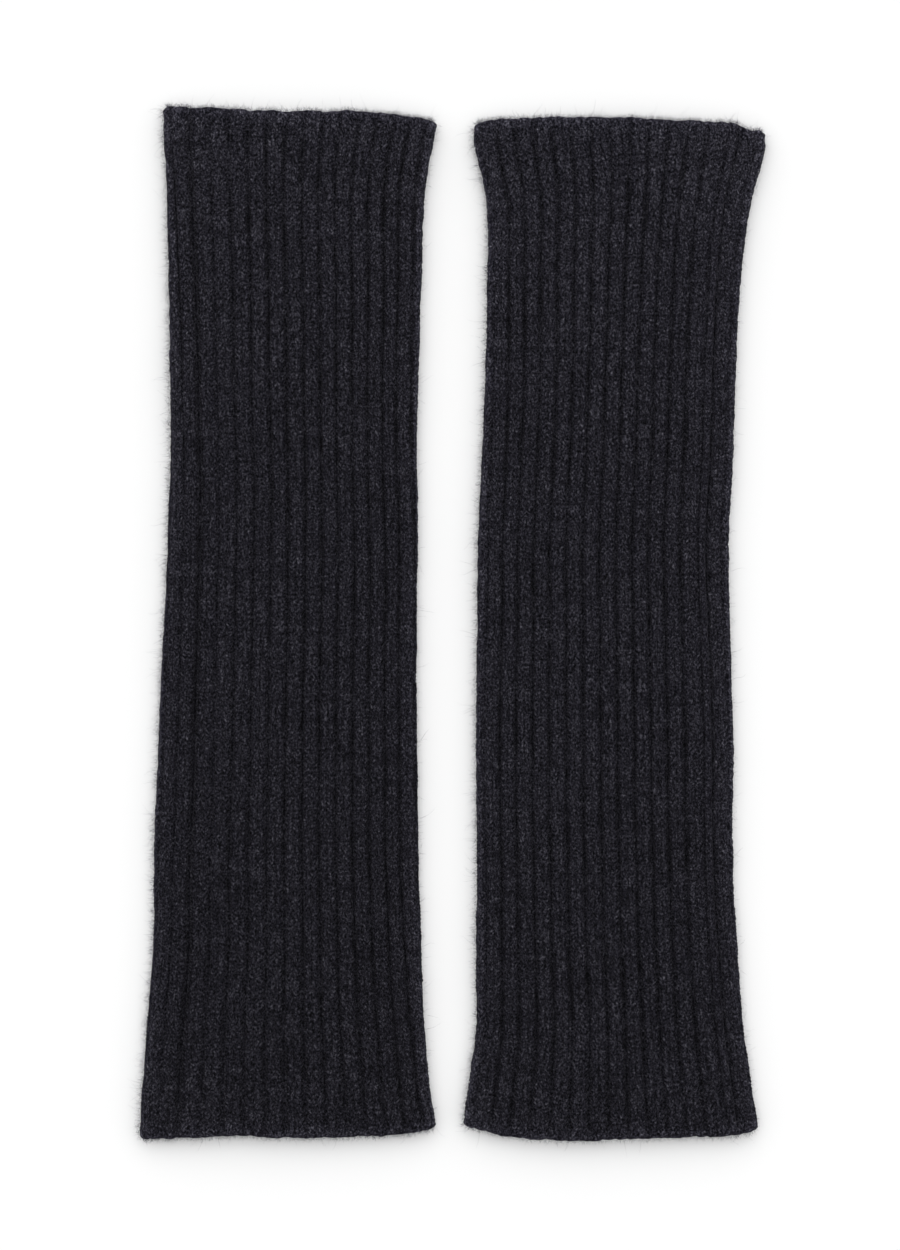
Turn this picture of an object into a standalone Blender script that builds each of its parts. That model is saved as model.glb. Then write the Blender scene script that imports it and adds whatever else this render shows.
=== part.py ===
"""A pair of rib-knit leg warmers laid flat, side by side, on a level surface.

Each leg warmer is one panel of wide ribs whose long sides meet in a seam near its outer fold.  The tube lies
flat, so its upper layer rests just above its lower one and it stays open at both ends.  A leg is a wall lofted
along its length between two closed rings: an outer ring that carries the ribs, and a plain inner ring round the
narrow space between the layers.

Frame: +X across the pair, +Y towards the upper edges, +Z up.  The origin lies between the two legs, on the
surface that they rest on.  Tables are in millimetres; objects are in metres.
"""

import bpy
import numpy as np

MM = 0.001

# The cloth
UPPER_WALL = 2.1      # thickness of the upper layer in its grooves
LOWER_WALL = 2.4      # thickness of the lower layer, pressed flat
LAYER_GAP = 0.5       # space between the two layers
RIB_RISE = 0.9        # how far a rib stands out of its grooves
SEAM_DEPTH = 0.5      # how much deeper the seam lies than the other grooves
FOLD_RADIUS = 0.5 * (UPPER_WALL + LAYER_GAP + LOWER_WALL)
QUARTER_TURN = 0.5 * np.pi * FOLD_RADIUS

# One rib across, from groove to groove: share of its width, share of its rise
RIB_PROFILE = np.array([
    (0.00, 0.00),
    (0.14, 0.64),
    (0.36, 1.00),
    (0.64, 1.00),
    (0.86, 0.64),
])

# The knitted edge rolls in: distance from the edge, share of the wall kept, share of the rib's rise
EDGE_PROFILE = np.array([
    (0.0, 0.40, 0.10),
    (0.6, 0.80, 0.25),
    (1.8, 1.00, 0.45),
    (5.5, 1.00, 1.00),
])
CORNER_RADIUS = 1.8   # of the tube's corners, seen from above
CORNER_REACH = 4.0    # how far across the cloth that rounding is felt

# How the upper layer lies
MOUTH_LIFT = 1.5      # how far the upper layer stands off the lower one at an open end
MOUTH_REACH = 16.0    # how far into the leg that goes
WAVE_RISE = 0.35      # slow waves along the upper layer
WAVE_LENGTH = 128.0

# How finely the loft is cut
MIDDLE_SECTIONS = 14
SECTION_CROWDING = 0.6   # how much closer the sections stand in the flares than in the middle
UNDERSIDE_POINTS = 14
INNER_POINTS = 18

LEG_LENGTH = 444.0    # of the longest rib column

# Each leg's tables.
#   folds: place along the leg, left fold, right fold
#   lower_edge, upper_edge: share of the way across, place along the leg
#   grooves: place along the leg, first and last groove as shares of the leg's width, measured over the cloth
#   rib_widths: each rib between those grooves against the mean rib; seam: the groove that is the seam
LEFT_LEG = {
    "name": "left_leg_warmer",
    "folds": np.array([
        (-222.0, -135.2, -6.6),
        (-205.0, -134.3, -9.2),
        (-180.0, -132.4, -11.4),
        (-140.0, -129.2, -13.1),
        (-100.0, -128.6, -14.3),
        (-50.0, -126.7, -14.9),
        (0.0, -124.5, -15.2),
        (40.0, -122.9, -14.6),
        (75.0, -121.8, -15.1),
        (100.0, -122.1, -14.7),
        (150.0, -122.6, -13.2),
        (195.0, -123.7, -11.1),
        (222.0, -124.9, -6.2),
    ]),
    "lower_edge": np.array([
        (0.00, -222.0),
        (0.08, -221.6),
        (0.20, -221.0),
        (0.32, -220.2),
        (0.49, -221.1),
        (0.65, -220.9),
        (0.80, -220.3),
        (0.92, -219.2),
        (1.00, -217.4),
    ]),
    "upper_edge": np.array([
        (0.00, 222.4),
        (0.15, 221.8),
        (0.27, 221.0),
        (0.43, 220.1),
        (0.60, 220.2),
        (0.78, 219.7),
        (0.88, 218.3),
        (0.94, 217.5),
        (1.00, 216.2),
    ]),
    "grooves": np.array([
        (-195.0, 0.012, 1.034),
        (-130.0, 0.020, 1.012),
        (-50.0, 0.028, 1.008),
        (20.0, 0.019, 1.008),
        (100.0, 0.006, 0.992),
        (205.0, -0.020, 0.980),
    ]),
    "rib_widths": (0.84, 0.99, 1.18, 1.09, 1.08, 1.07, 1.03, 1.06, 1.00, 0.99, 0.99, 0.97, 0.95, 0.85, 0.92),
    "seam": 2,
}
RIGHT_LEG = {
    "name": "right_leg_warmer",
    "folds": np.array([
        (-222.0, 4.6, 132.0),
        (-205.0, 6.7, 129.4),
        (-180.0, 10.1, 126.0),
        (-150.0, 10.0, 123.4),
        (-100.0, 10.3, 120.9),
        (-50.0, 10.1, 121.0),
        (0.0, 10.4, 119.9),
        (35.0, 10.8, 119.0),
        (70.0, 12.4, 120.8),
        (105.0, 13.9, 121.9),
        (150.0, 14.8, 124.2),
        (185.0, 14.5, 128.2),
        (212.0, 9.0, 134.9),
    ]),
    "lower_edge": np.array([
        (0.00, -217.0),
        (0.06, -218.2),
        (0.15, -220.5),
        (0.26, -222.0),
        (0.38, -222.4),
        (0.57, -221.5),
        (0.78, -220.9),
        (0.92, -220.1),
        (1.00, -218.4),
    ]),
    "upper_edge": np.array([
        (0.00, 215.4),
        (0.05, 216.4),
        (0.12, 217.1),
        (0.24, 217.6),
        (0.40, 217.5),
        (0.55, 217.2),
        (0.72, 216.2),
        (0.86, 215.2),
        (0.91, 214.8),
        (0.94, 212.9),
        (1.00, 212.2),
    ]),
    "grooves": np.array([
        (-195.0, 0.039, 1.009),
        (-130.0, 0.045, 1.005),
        (-50.0, 0.036, 0.999),
        (20.0, 0.048, 0.989),
        (100.0, 0.040, 0.988),
        (205.0, 0.023, 0.984),
    ]),
    "rib_widths": (0.96, 0.98, 1.03, 1.03, 1.05, 1.04, 1.07, 1.04, 1.04, 1.02, 1.01, 1.05, 1.19, 0.53, 0.96),
    "seam": 14,
}

YARNS = {
    "left_leg_warmer": ("left_rib_knit", (0.030, 0.029, 0.035, 1.0)),
    "right_leg_warmer": ("right_rib_knit", (0.031, 0.030, 0.036, 1.0)),
}


def read_table(table, column, at):
    """One column of a table at a place along its first column, on a smooth curve through its rows."""
    places = table[:, 0]
    values = table[:, column]
    slopes = np.gradient(values, places)
    at = np.clip(at, places[0], places[-1])
    row = np.clip(np.searchsorted(places, at) - 1, 0, len(places) - 2)
    span = places[row + 1] - places[row]
    t = (at - places[row]) / span
    ease = t * t * (3 - 2 * t)
    start_slope = t * (1 - t) ** 2 * span * slopes[row]
    end_slope = t * t * (1 - t) * span * slopes[row + 1]
    return values[row] * (1 - ease) + values[row + 1] * ease + start_slope - end_slope


def smooth_step(value, low, high):
    """0 below low, 1 above high, and an S-curve between them."""
    t = np.clip((value - low) / (high - low), 0, 1)
    return t * t * (3 - 2 * t)


def wrap_round(distance, left, right):
    """Points and outward normals on the flattened tube, at distances over the cloth from its left fold.

    The upper face is flat, each fold is a half circle, and past either fold the underside lies at height 0.
    Positive distances run over the upper face to the right fold and on; negative ones go under the left fold.
    """
    flat = right - left - 2 * FOLD_RADIUS
    far_turn = QUARTER_TURN + flat
    angle_left = np.clip(distance / FOLD_RADIUS, -np.pi / 2, np.pi / 2)
    angle_right = np.clip((distance - far_turn) / FOLD_RADIUS, 0, np.pi)
    over_left = distance <= QUARTER_TURN
    across = np.where(over_left, -np.cos(angle_left), np.sin(angle_right))
    up = np.where(over_left, np.sin(angle_left), np.cos(angle_right))
    along_top = np.clip(distance - QUARTER_TURN, 0, flat)
    under_left = np.clip(-QUARTER_TURN - distance, 0, None)
    under_right = np.clip(distance - far_turn - 2 * QUARTER_TURN, 0, None)
    x = left + FOLD_RADIUS + along_top + under_left - under_right + FOLD_RADIUS * across
    z = FOLD_RADIUS + FOLD_RADIUS * up
    return x, z, across, up


def lift(across, along, edge_distance):
    """How far the upper layer stands above its lowest place: open mouths at both ends, slow waves between."""
    bow = np.clip(4 * across * (1 - across), 0, 1)
    mouth = MOUTH_LIFT * np.exp(-edge_distance / MOUTH_REACH)
    wave = 0.5 * WAVE_RISE * (1 + np.sin(2 * np.pi * along / WAVE_LENGTH + 5 * across))
    return bow * (mouth + wave)


def round_corner(x, left, right, edge_distance):
    """Moves points near the folds inwards at the leg's corners, so that they are round from above."""
    reach = max(CORNER_RADIUS - edge_distance, 0)
    inset = CORNER_RADIUS - np.sqrt(CORNER_RADIUS ** 2 - reach ** 2)
    from_left = inset * np.exp(-np.abs(x - left) / CORNER_REACH)
    from_right = inset * np.exp(-np.abs(right - x) / CORNER_REACH)
    return x + from_left - from_right


def groove_places(leg, along, width):
    """Distances over the cloth from the left fold to every groove, with one more beyond each end."""
    first = read_table(leg["grooves"], 1, along)
    last = read_table(leg["grooves"], 2, along)
    widths = np.array(leg["rib_widths"])
    shares = np.concatenate([[0], np.cumsum(widths)]) / widths.sum()
    places = width * (first + (last - first) * shares)
    rib = (places[-1] - places[0]) / len(widths)
    return np.concatenate([[places[0] - rib], places, [places[-1] + rib]])


def outer_ring(leg, along, edge_distance, wall_share, rib_share):
    """The outside of one cross section: ribs over the top and the folds, then the flat underside.

    Returns the points as rows of x, z and share across, and each point's place round the tube, where
    0 is the left fold, 0.5 the right fold and 1 the left fold again.
    """
    left = read_table(leg["folds"], 1, along) + RIB_RISE
    right = read_table(leg["folds"], 2, along) - RIB_RISE
    grooves = groove_places(leg, along, right - left)
    widths = np.diff(grooves)
    distance = (grooves[:-1, None] + widths[:, None] * RIB_PROFILE[None, :, 0]).ravel()
    rise = RIB_RISE * np.tile(RIB_PROFILE[:, 1], len(widths))
    rise[(leg["seam"] + 1) * len(RIB_PROFILE)] -= SEAM_DEPTH
    round_trip = 2 * (right - left - 2 * FOLD_RADIUS) + 4 * QUARTER_TURN
    underside = np.linspace(grooves[-1], grooves[0] + round_trip, UNDERSIDE_POINTS + 2)[:-1]
    distance = np.concatenate([distance, underside])
    rise = np.concatenate([rise, np.zeros(len(underside))])

    x, z, across, up = wrap_round(distance, left, right)
    out = rise * rib_share * smooth_step(up, -0.6, 0.2)
    out = out - 0.5 * (1 - wall_share) * np.where(up > 0, UPPER_WALL, LOWER_WALL)
    x = x + across * out
    z = z + up * out
    share = (x - left) / (right - left)
    z = z + np.where(up > 0, up, 0) * lift(share, along, edge_distance)
    x = round_corner(x, left, right, edge_distance)
    over = distance <= 0.5 * round_trip
    turn = np.where(over, 0.5 * share, 1 - 0.5 * share)
    turn = np.where(distance < 0, -0.5 * share, turn)
    return np.column_stack([x, z, share]), turn


def inner_ring(leg, along, edge_distance, wall_share):
    """The inside of one cross section: a plain slit between the layers, from fold to fold and back."""
    outer_left = read_table(leg["folds"], 1, along) + RIB_RISE
    outer_right = read_table(leg["folds"], 2, along) - RIB_RISE
    thinning = 0.5 * (1 - wall_share)
    left = outer_left + UPPER_WALL * (1 - thinning)
    right = outer_right - UPPER_WALL * (1 - thinning)
    shares = np.linspace(0, 1, INNER_POINTS)
    over = shares
    under = shares[-2:0:-1]
    x = left + (right - left) * np.concatenate([over, under])
    place = (x - outer_left) / (outer_right - outer_left)
    roof = 2 * FOLD_RADIUS - UPPER_WALL * (1 - thinning) + lift(place, along, edge_distance)
    ground = np.full(len(x), LOWER_WALL * (1 - thinning))
    upper = np.arange(len(x)) < len(over)
    z = np.where(upper, roof, ground)
    fold_points = np.array([0, len(over) - 1])
    z[fold_points] = 0.5 * (roof + ground)[fold_points]
    x = round_corner(x, outer_left, outer_right, edge_distance)
    turn = np.where(upper, 0.5 * place, 1 - 0.5 * place)
    return np.column_stack([x, z, place]), turn


def section_places():
    """Rows of share along the leg, distance from the nearer edge, share of the wall, share of the ribs."""
    from_edge = EDGE_PROFILE[:, 0] / LEG_LENGTH
    even = np.linspace(0, 1, MIDDLE_SECTIONS + 2)[1:-1]
    crowded = even - SECTION_CROWDING * np.sin(2 * np.pi * even) / (2 * np.pi)
    middle = from_edge[-1] + (1 - 2 * from_edge[-1]) * crowded
    along = np.concatenate([from_edge, middle, 1 - from_edge[::-1]])
    edge_distance = LEG_LENGTH * np.minimum(along, 1 - along)
    wall = np.interp(edge_distance, EDGE_PROFILE[:, 0], EDGE_PROFILE[:, 1])
    ribs = np.interp(edge_distance, EDGE_PROFILE[:, 0], EDGE_PROFILE[:, 2])
    return np.column_stack([along, edge_distance, wall, ribs])


def lay_section(leg, ring, share_along):
    """Stands a cross section up in the leg, each point between the lower and the upper edge."""
    lower = read_table(leg["lower_edge"], 1, ring[:, 2])
    upper = read_table(leg["upper_edge"], 1, ring[:, 2])
    y = lower + (upper - lower) * share_along
    return np.column_stack([ring[:, 0], y, ring[:, 1]]) * MM


def skin(rings, count, first, outwards):
    """Four-sided faces between neighbouring rings of the same count, numbered from first."""
    faces = []
    for ring in range(rings - 1):
        for point in range(count):
            following = (point + 1) % count
            here = first + ring * count
            there = here + count
            face = (here + point, here + following, there + following, there + point)
            faces.append(face if outwards else face[::-1])
    return faces


def close_end(outer, outer_turn, inner, inner_turn, outwards):
    """Triangles across an open end, between two rings of point numbers that differ in count.

    Each triangle moves on along whichever ring lags behind in its way round the tube.
    """
    faces = []
    a = 0
    b = 0
    while a < len(outer) or b < len(inner):
        next_a = outer_turn[a + 1] if a + 1 < len(outer) else outer_turn[0] + 1
        next_b = inner_turn[b + 1] if b + 1 < len(inner) else inner_turn[0] + 1
        here_a = outer[a % len(outer)]
        here_b = inner[b % len(inner)]
        if b == len(inner) or (a < len(outer) and next_a <= next_b):
            face = (here_a, outer[(a + 1) % len(outer)], here_b)
            a += 1
        else:
            face = (here_a, inner[(b + 1) % len(inner)], here_b)
            b += 1
        faces.append(face if outwards else face[::-1])
    return faces


def build_leg(leg):
    """One leg warmer: the wall between its outer and inner skins, closed at both knitted edges."""
    outer_rings = []
    inner_rings = []
    turns = []
    middle = 0.5 * (leg["lower_edge"][:, 1].mean() + leg["upper_edge"][:, 1].mean())
    for share, edge_distance, wall_share, rib_share in section_places():
        along = middle + (share - 0.5) * LEG_LENGTH
        outer, outer_turn = outer_ring(leg, along, edge_distance, wall_share, rib_share)
        inner, inner_turn = inner_ring(leg, along, edge_distance, wall_share)
        outer_rings.append(lay_section(leg, outer, share))
        inner_rings.append(lay_section(leg, inner, share))
        turns.append((outer_turn, inner_turn))

    rings = len(outer_rings)
    outer_count = len(outer_rings[0])
    inner_count = len(inner_rings[0])
    inner_first = rings * outer_count
    faces = skin(rings, outer_count, 0, True)
    faces += skin(rings, inner_count, inner_first, False)
    for ring, outwards in ((0, False), (rings - 1, True)):
        outer = ring * outer_count + np.arange(outer_count)
        inner = inner_first + ring * inner_count + np.arange(inner_count)
        faces += close_end(outer.tolist(), turns[ring][0], inner.tolist(), turns[ring][1], outwards)

    mesh = bpy.data.meshes.new(leg["name"])
    mesh.from_pydata(np.concatenate(outer_rings + inner_rings).tolist(), [], faces)
    mesh.validate()
    mesh.shade_smooth()
    mesh.set_sharp_from_angle(angle=np.radians(50))
    mesh.materials.append(yarn(leg["name"]))
    leg_object = bpy.data.objects.new(leg["name"], mesh)
    bpy.context.collection.objects.link(leg_object)
    return leg_object


def yarn(node):
    """The charcoal melange yarn of one leg warmer."""
    name, colour = YARNS[node]
    material = bpy.data.materials.new(name)
    material.use_nodes = True
    shader = material.node_tree.nodes["Principled BSDF"]
    shader.inputs["Base Color"].default_value = colour
    shader.inputs["Roughness"].default_value = 0.95
    shader.inputs["Metallic"].default_value = 0.0
    shader.inputs["Sheen Weight"].default_value = 0.3
    return material


def clear_scene():
    """Removes whatever objects the scene starts with."""
    for old in list(bpy.data.objects):
        bpy.data.objects.remove(old, do_unlink=True)


clear_scene()
for leg in (LEFT_LEG, RIGHT_LEG):
    made = build_leg(leg)
    print(made.name, len(made.data.vertices), "points")
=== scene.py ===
# %% [markdown]
# # A pair of rib-knit leg warmers, laid flat
#
# Two knitted tubes of charcoal wool lie side by side on a pale table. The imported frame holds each
# leg warmer as a plain ribbed solid. This lesson dresses the pair: a finer ground cloth of the same
# sizes, the two legs of every stitch as raised strands of yarn, the seam, the bound-off ends, and
# the fuzz that softens all of it.
#
# Every shape is worked out with numpy as whole arrays and then handed to Blender in one go, because
# a knit has far too many stitches to place one by one.

import bpy
import numpy as np
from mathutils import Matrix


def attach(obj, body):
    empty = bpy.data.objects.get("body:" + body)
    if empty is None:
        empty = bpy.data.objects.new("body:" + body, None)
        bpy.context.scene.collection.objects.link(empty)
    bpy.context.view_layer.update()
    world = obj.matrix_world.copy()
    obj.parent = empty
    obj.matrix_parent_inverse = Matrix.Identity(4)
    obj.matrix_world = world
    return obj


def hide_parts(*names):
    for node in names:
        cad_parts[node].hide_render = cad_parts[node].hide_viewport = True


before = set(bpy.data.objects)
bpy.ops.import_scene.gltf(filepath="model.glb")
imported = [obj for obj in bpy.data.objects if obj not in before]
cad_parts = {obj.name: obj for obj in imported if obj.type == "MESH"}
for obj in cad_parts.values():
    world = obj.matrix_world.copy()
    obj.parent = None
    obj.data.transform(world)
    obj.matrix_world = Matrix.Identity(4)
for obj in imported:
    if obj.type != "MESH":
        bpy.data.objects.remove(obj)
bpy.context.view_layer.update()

# %% [markdown]
# ## The cloth's own sizes
#
# A rib knit is thick for its yarn: the ribs stand forward, and the grooves between them fall back.
# Laid flat, a leg warmer is two layers, one on the other, that turn into each other at two round
# folds. All sizes are in millimetres, as a knitter would measure them with a ruler.

# %% Sizes of the cloth, in millimetres
MM = 0.001
UPPER_WALL = 2.1      # thickness of the upper layer in its grooves
LOWER_WALL = 2.4      # thickness of the lower layer, pressed flat
LAYER_GAP = 0.5       # space between the two layers
RIB_RISE = 0.9        # how far a rib stands out of its grooves
FOLD_RADIUS = 0.5 * (UPPER_WALL + LAYER_GAP + LOWER_WALL)
QUARTER_TURN = 0.5 * np.pi * FOLD_RADIUS
LEG_LENGTH = 444.0    # along its longest rib
CORNER_RADIUS = 1.8   # of the tube's corners, seen from above
CORNER_REACH = 4.0    # how far in from a fold they are felt
MOUTH_LIFT = 1.5      # how far the upper layer stands off the lower one at an open end
MOUTH_REACH = 16.0    # and how far into the leg that is felt
WAVE_RISE = 0.35      # of the slow waves along the upper layer
WAVE_LENGTH = 128.0
WAVE_SLANT = 5.0      # how much their phase changes from fold to fold, in radians
COURSE = 1.53         # height of one row of stitches
COURSES = round(LEG_LENGTH / COURSE)
RIBS = 15             # on top, from the first groove to the last
RIB_PITCH = 7.2       # of an ordinary rib, groove to groove
print("each leg has", COURSES, "courses of", COURSE, "mm")

# %% [markdown]
# ## How each leg lies
#
# No two knitted tubes lie alike, so each leg has its own short tables: where its folds run, how its
# two ends bow, where its grooves lie and how wide each rib is. The ribs are counted from the first
# groove, on the left.

# %% Tables of the left leg
LEFT_LEG = {
    "name": "left_leg_warmer",
    # place along the leg, left fold, right fold
    "folds": np.array([
        (-222.0, -135.2, -6.6),
        (-205.0, -134.3, -9.2),
        (-180.0, -132.4, -11.4),
        (-140.0, -129.2, -13.1),
        (-100.0, -128.6, -14.3),
        (-50.0, -126.7, -14.9),
        (0.0, -124.5, -15.2),
        (40.0, -122.9, -14.6),
        (75.0, -121.8, -15.1),
        (100.0, -122.1, -14.7),
        (150.0, -122.6, -13.2),
        (195.0, -123.7, -11.1),
        (222.0, -124.9, -6.2),
    ]),
    # share of the way across, place along the leg
    "lower_edge": np.array([
        (0.00, -222.0),
        (0.08, -221.6),
        (0.20, -221.0),
        (0.32, -220.2),
        (0.49, -221.1),
        (0.65, -220.9),
        (0.80, -220.3),
        (0.92, -219.2),
        (1.00, -217.4),
    ]),
    "upper_edge": np.array([
        (0.00, 222.4),
        (0.15, 221.8),
        (0.27, 221.0),
        (0.43, 220.1),
        (0.60, 220.2),
        (0.78, 219.7),
        (0.88, 218.3),
        (0.94, 217.5),
        (1.00, 216.2),
    ]),
    # place along the leg, first and last groove as shares of the width, measured over the cloth
    "grooves": np.array([
        (-195.0, 0.012, 1.034),
        (-130.0, 0.020, 1.012),
        (-50.0, 0.028, 1.008),
        (20.0, 0.019, 1.008),
        (100.0, 0.006, 0.992),
        (205.0, -0.020, 0.980),
    ]),
    # of each rib from the left, against the others
    "rib_widths": (
        0.84, 0.99, 1.18, 1.09, 1.08, 1.07, 1.03, 1.06,
        1.00, 0.99, 0.99, 0.97, 0.95, 0.85, 0.92),
    "seam": 2,            # the groove that holds it
    # how strongly shade is painted on each groove from the left, against the usual
    "groove_depths": (
        0.90, 0.60, 0.75, 0.70, 0.90, 0.90, 0.95, 1.00,
        1.00, 1.00, 0.95, 1.05, 1.00, 1.05, 1.00, 1.00),
    # share of that which is lost towards the lower left corner, where the ribs lie open
    "open_below": 0.25,
    # grooves that the rib beside them leans over, and the shares of the leg between which it does
    "creases": [(1, 0.78, 0.945)],
    # how fuzzy each side of the outline is
    "fuzz": {"left": 1.0, "right": 0.06, "lower": 0.65, "upper": 1.0},
    "paler": -0.02,       # how much paler its yarn is
}

# %% Tables of the right leg
RIGHT_LEG = {
    "name": "right_leg_warmer",
    "folds": np.array([
        (-222.0, 4.6, 132.0),
        (-205.0, 6.7, 129.4),
        (-180.0, 10.1, 126.0),
        (-150.0, 10.0, 123.4),
        (-100.0, 10.3, 120.9),
        (-50.0, 10.1, 121.0),
        (0.0, 10.4, 119.9),
        (35.0, 10.8, 119.0),
        (70.0, 12.4, 120.8),
        (105.0, 13.9, 121.9),
        (150.0, 14.8, 124.2),
        (185.0, 14.5, 128.2),
        (212.0, 9.0, 134.9),
    ]),
    "lower_edge": np.array([
        (0.00, -217.0),
        (0.06, -218.2),
        (0.15, -220.5),
        (0.26, -222.0),
        (0.38, -222.4),
        (0.57, -221.5),
        (0.78, -220.9),
        (0.92, -220.1),
        (1.00, -218.4),
    ]),
    "upper_edge": np.array([
        (0.00, 215.4),
        (0.05, 216.4),
        (0.12, 217.1),
        (0.24, 217.6),
        (0.40, 217.5),
        (0.55, 217.2),
        (0.72, 216.2),
        (0.86, 215.2),
        (0.91, 214.8),
        (0.94, 212.9),
        (1.00, 212.2),
    ]),
    "grooves": np.array([
        (-195.0, 0.039, 1.009),
        (-130.0, 0.045, 1.005),
        (-50.0, 0.036, 0.999),
        (20.0, 0.048, 0.989),
        (100.0, 0.040, 0.988),
        (205.0, 0.023, 0.984),
    ]),
    "rib_widths": (
        0.96, 0.98, 1.03, 1.03, 1.05, 1.04, 1.07, 1.04,
        1.04, 1.02, 1.01, 1.05, 1.19, 0.53, 0.96),
    "seam": 14,
    "groove_depths": (
        0.60, 1.00, 0.95, 0.95, 0.95, 0.95, 0.95, 0.95,
        1.00, 1.00, 0.95, 1.00, 0.95, 0.60, 0.40, 0.60),
    "open_below": 0.0,
    "creases": [],
    "fuzz": {"left": 0.90, "right": 0.08, "lower": 0.42, "upper": 1.0},
    "paler": 0.045,
}
LEGS = {"left": LEFT_LEG, "right": RIGHT_LEG}

# %% [markdown]
# ## Reading the tables smoothly
#
# A table gives a size at a few places only. A Hermite curve through its rows gives it everywhere,
# with no kink at a row, which is how a soft edge behaves.

# %% Curves through a table
def read_table(table, column, at):
    """One column of a table at a place along its first column.

    It is a cubic Hermite curve through the rows: value * (1 - ease) + next value * ease, plus the
    two slopes' own curves, where ease is 3t^2 - 2t^3 and t runs from 0 to 1 between two rows.
    """
    places = table[:, 0]
    values = table[:, column]
    slopes = np.gradient(values, places)
    at = np.clip(at, places[0], places[-1])
    row = np.clip(np.searchsorted(places, at) - 1, 0, len(places) - 2)
    span = places[row + 1] - places[row]
    t = (at - places[row]) / span
    ease = t * t * (3 - 2 * t)
    start_slope = t * (1 - t) ** 2 * span * slopes[row]
    end_slope = t * t * (1 - t) * span * slopes[row + 1]
    return values[row] * (1 - ease) + values[row + 1] * ease + start_slope - end_slope


def smooth_step(value, low, high):
    """0 below low, 1 above high, and the S-curve 3t^2 - 2t^3 between them."""
    t = np.clip((value - low) / (high - low), 0, 1)
    return t * t * (3 - 2 * t)


# %% [markdown]
# ## Small unevenness
#
# Hand-feel comes from what is not quite straight. Wool relaxes by different amounts, so the ribs
# sway a little and the surface rises and falls by a tenth of a millimetre or two. A sum of a few
# long sine waves with seeded directions and phases gives this, the same in every run.

# %% Slow waves over the cloth
def waves(seed, count, shortest, longest):
    """Rows of cycles per mm across, cycles per mm along, and phase, for wavelengths in a range.

    Wavelengths are drawn evenly on a logarithmic scale, directions and phases evenly all round.
    """
    draws = np.random.default_rng(seed)
    length = np.exp(draws.uniform(np.log(shortest), np.log(longest), count))
    turn = draws.uniform(0, 2 * np.pi, count)
    phase = draws.uniform(0, 2 * np.pi, count)
    return np.column_stack([np.cos(turn) / length, np.sin(turn) / length, phase])


def uneven(wave_rows, rib, share):
    """The sum of the waves at places in the knit, with a standard deviation of about 1.

    Each wave is the sine of 2 pi times the cycles passed, across and along, plus its phase.
    """
    total = 0
    for per_across, per_along, phase in wave_rows:
        cycles = per_across * rib * RIB_PITCH + per_along * share * LEG_LENGTH
        total = total + np.sin(2 * np.pi * cycles + phase)
    return total * np.sqrt(2 / len(wave_rows))


# %% The waves of both legs
# For each kind of waves: the seed, how many there are, the shortest and the longest one in mm
WAVE_KINDS = {
    "sway_waves": (101, 9, 38, 150),
    "lump_waves": (201, 16, 14, 60),
    "shade_waves": (301, 14, 9, 60),
    "end_waves": (401, 12, 2.5, 16),
}
SWAY = 0.022          # of the ribs sideways, as a share of a rib
SWAY_REACH = 2        # how many ribs at either fold sway less
LUMP = 0.10           # of the surface up and down, in mm
END_UNEVEN = 0.21     # of the two ends, in mm
FOLD_UNEVEN = 0.12    # and of the two folds
UNEVEN_REACH = 3.0    # how far into the leg both are felt
for number, leg in enumerate(LEGS.values()):
    for kind, (seed, count, shortest, longest) in WAVE_KINDS.items():
        leg[kind] = waves(seed + number, count, shortest, longest)
print("unevenness of each leg:", ", ".join(f"{WAVE_KINDS[kind][1]} {kind}" for kind in WAVE_KINDS))


def swayed(leg, rib, share):
    """The rib coordinate with its sway, which dies out towards both folds."""
    inside = smooth_step(rib, 0, SWAY_REACH) * (1 - smooth_step(rib, RIBS - SWAY_REACH, RIBS))
    return rib + SWAY * inside * uneven(leg["sway_waves"], rib, share)


# %% [markdown]
# ## From a place in the knit to a place on the table
#
# A knitter names a place by its rib and its course. Two functions carry such a place to the table:
# the first goes round the flattened tube, over the top from the left fold to the right one and back
# underneath, and the second stands the point up, with the lift of the open ends and the round
# corners. All that is made below, cloth, stitches and fuzz alike, is laid through these two, so
# nothing floats or sinks.

# %% Round the tube
FIRST_RIB = -1        # one rib before the first groove turns over the left fold
LAST_OVER = RIBS + 1  # one rib after the last groove turns over the right fold
RIBS_UNDER = 16       # ribs on the underside
RIBS_ROUND = LAST_OVER - FIRST_RIB + RIBS_UNDER


def groove_shares(leg):
    """Each groove's share of the way from first to last, and one more rib on either side."""
    widths = np.array(leg["rib_widths"])
    shares = np.concatenate([[0], np.cumsum(widths)]) / widths.sum()
    rib = 1 / len(widths)
    return np.concatenate([[-rib], shares, [1 + rib]])


def distance_round(leg, rib, along, width):
    """Distance over the cloth from the left fold, all round the tube.

    On top, the grooves lie as the leg's table says. Underneath, the ribs are even.
    """
    first = read_table(leg["grooves"], 1, along)
    last = read_table(leg["grooves"], 2, along)
    shares = groove_shares(leg)
    share = np.interp(rib, np.arange(FIRST_RIB, LAST_OVER + 1), shares)
    over = width * (first + (last - first) * share)
    start = width * (first + (last - first) * shares[0])
    end = width * (first + (last - first) * shares[-1])
    round_trip = 2 * (width - 2 * FOLD_RADIUS) + 4 * QUARTER_TURN
    under = end + (rib - LAST_OVER) / RIBS_UNDER * (start + round_trip - end)
    return np.where(rib <= LAST_OVER, over, under)


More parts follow.
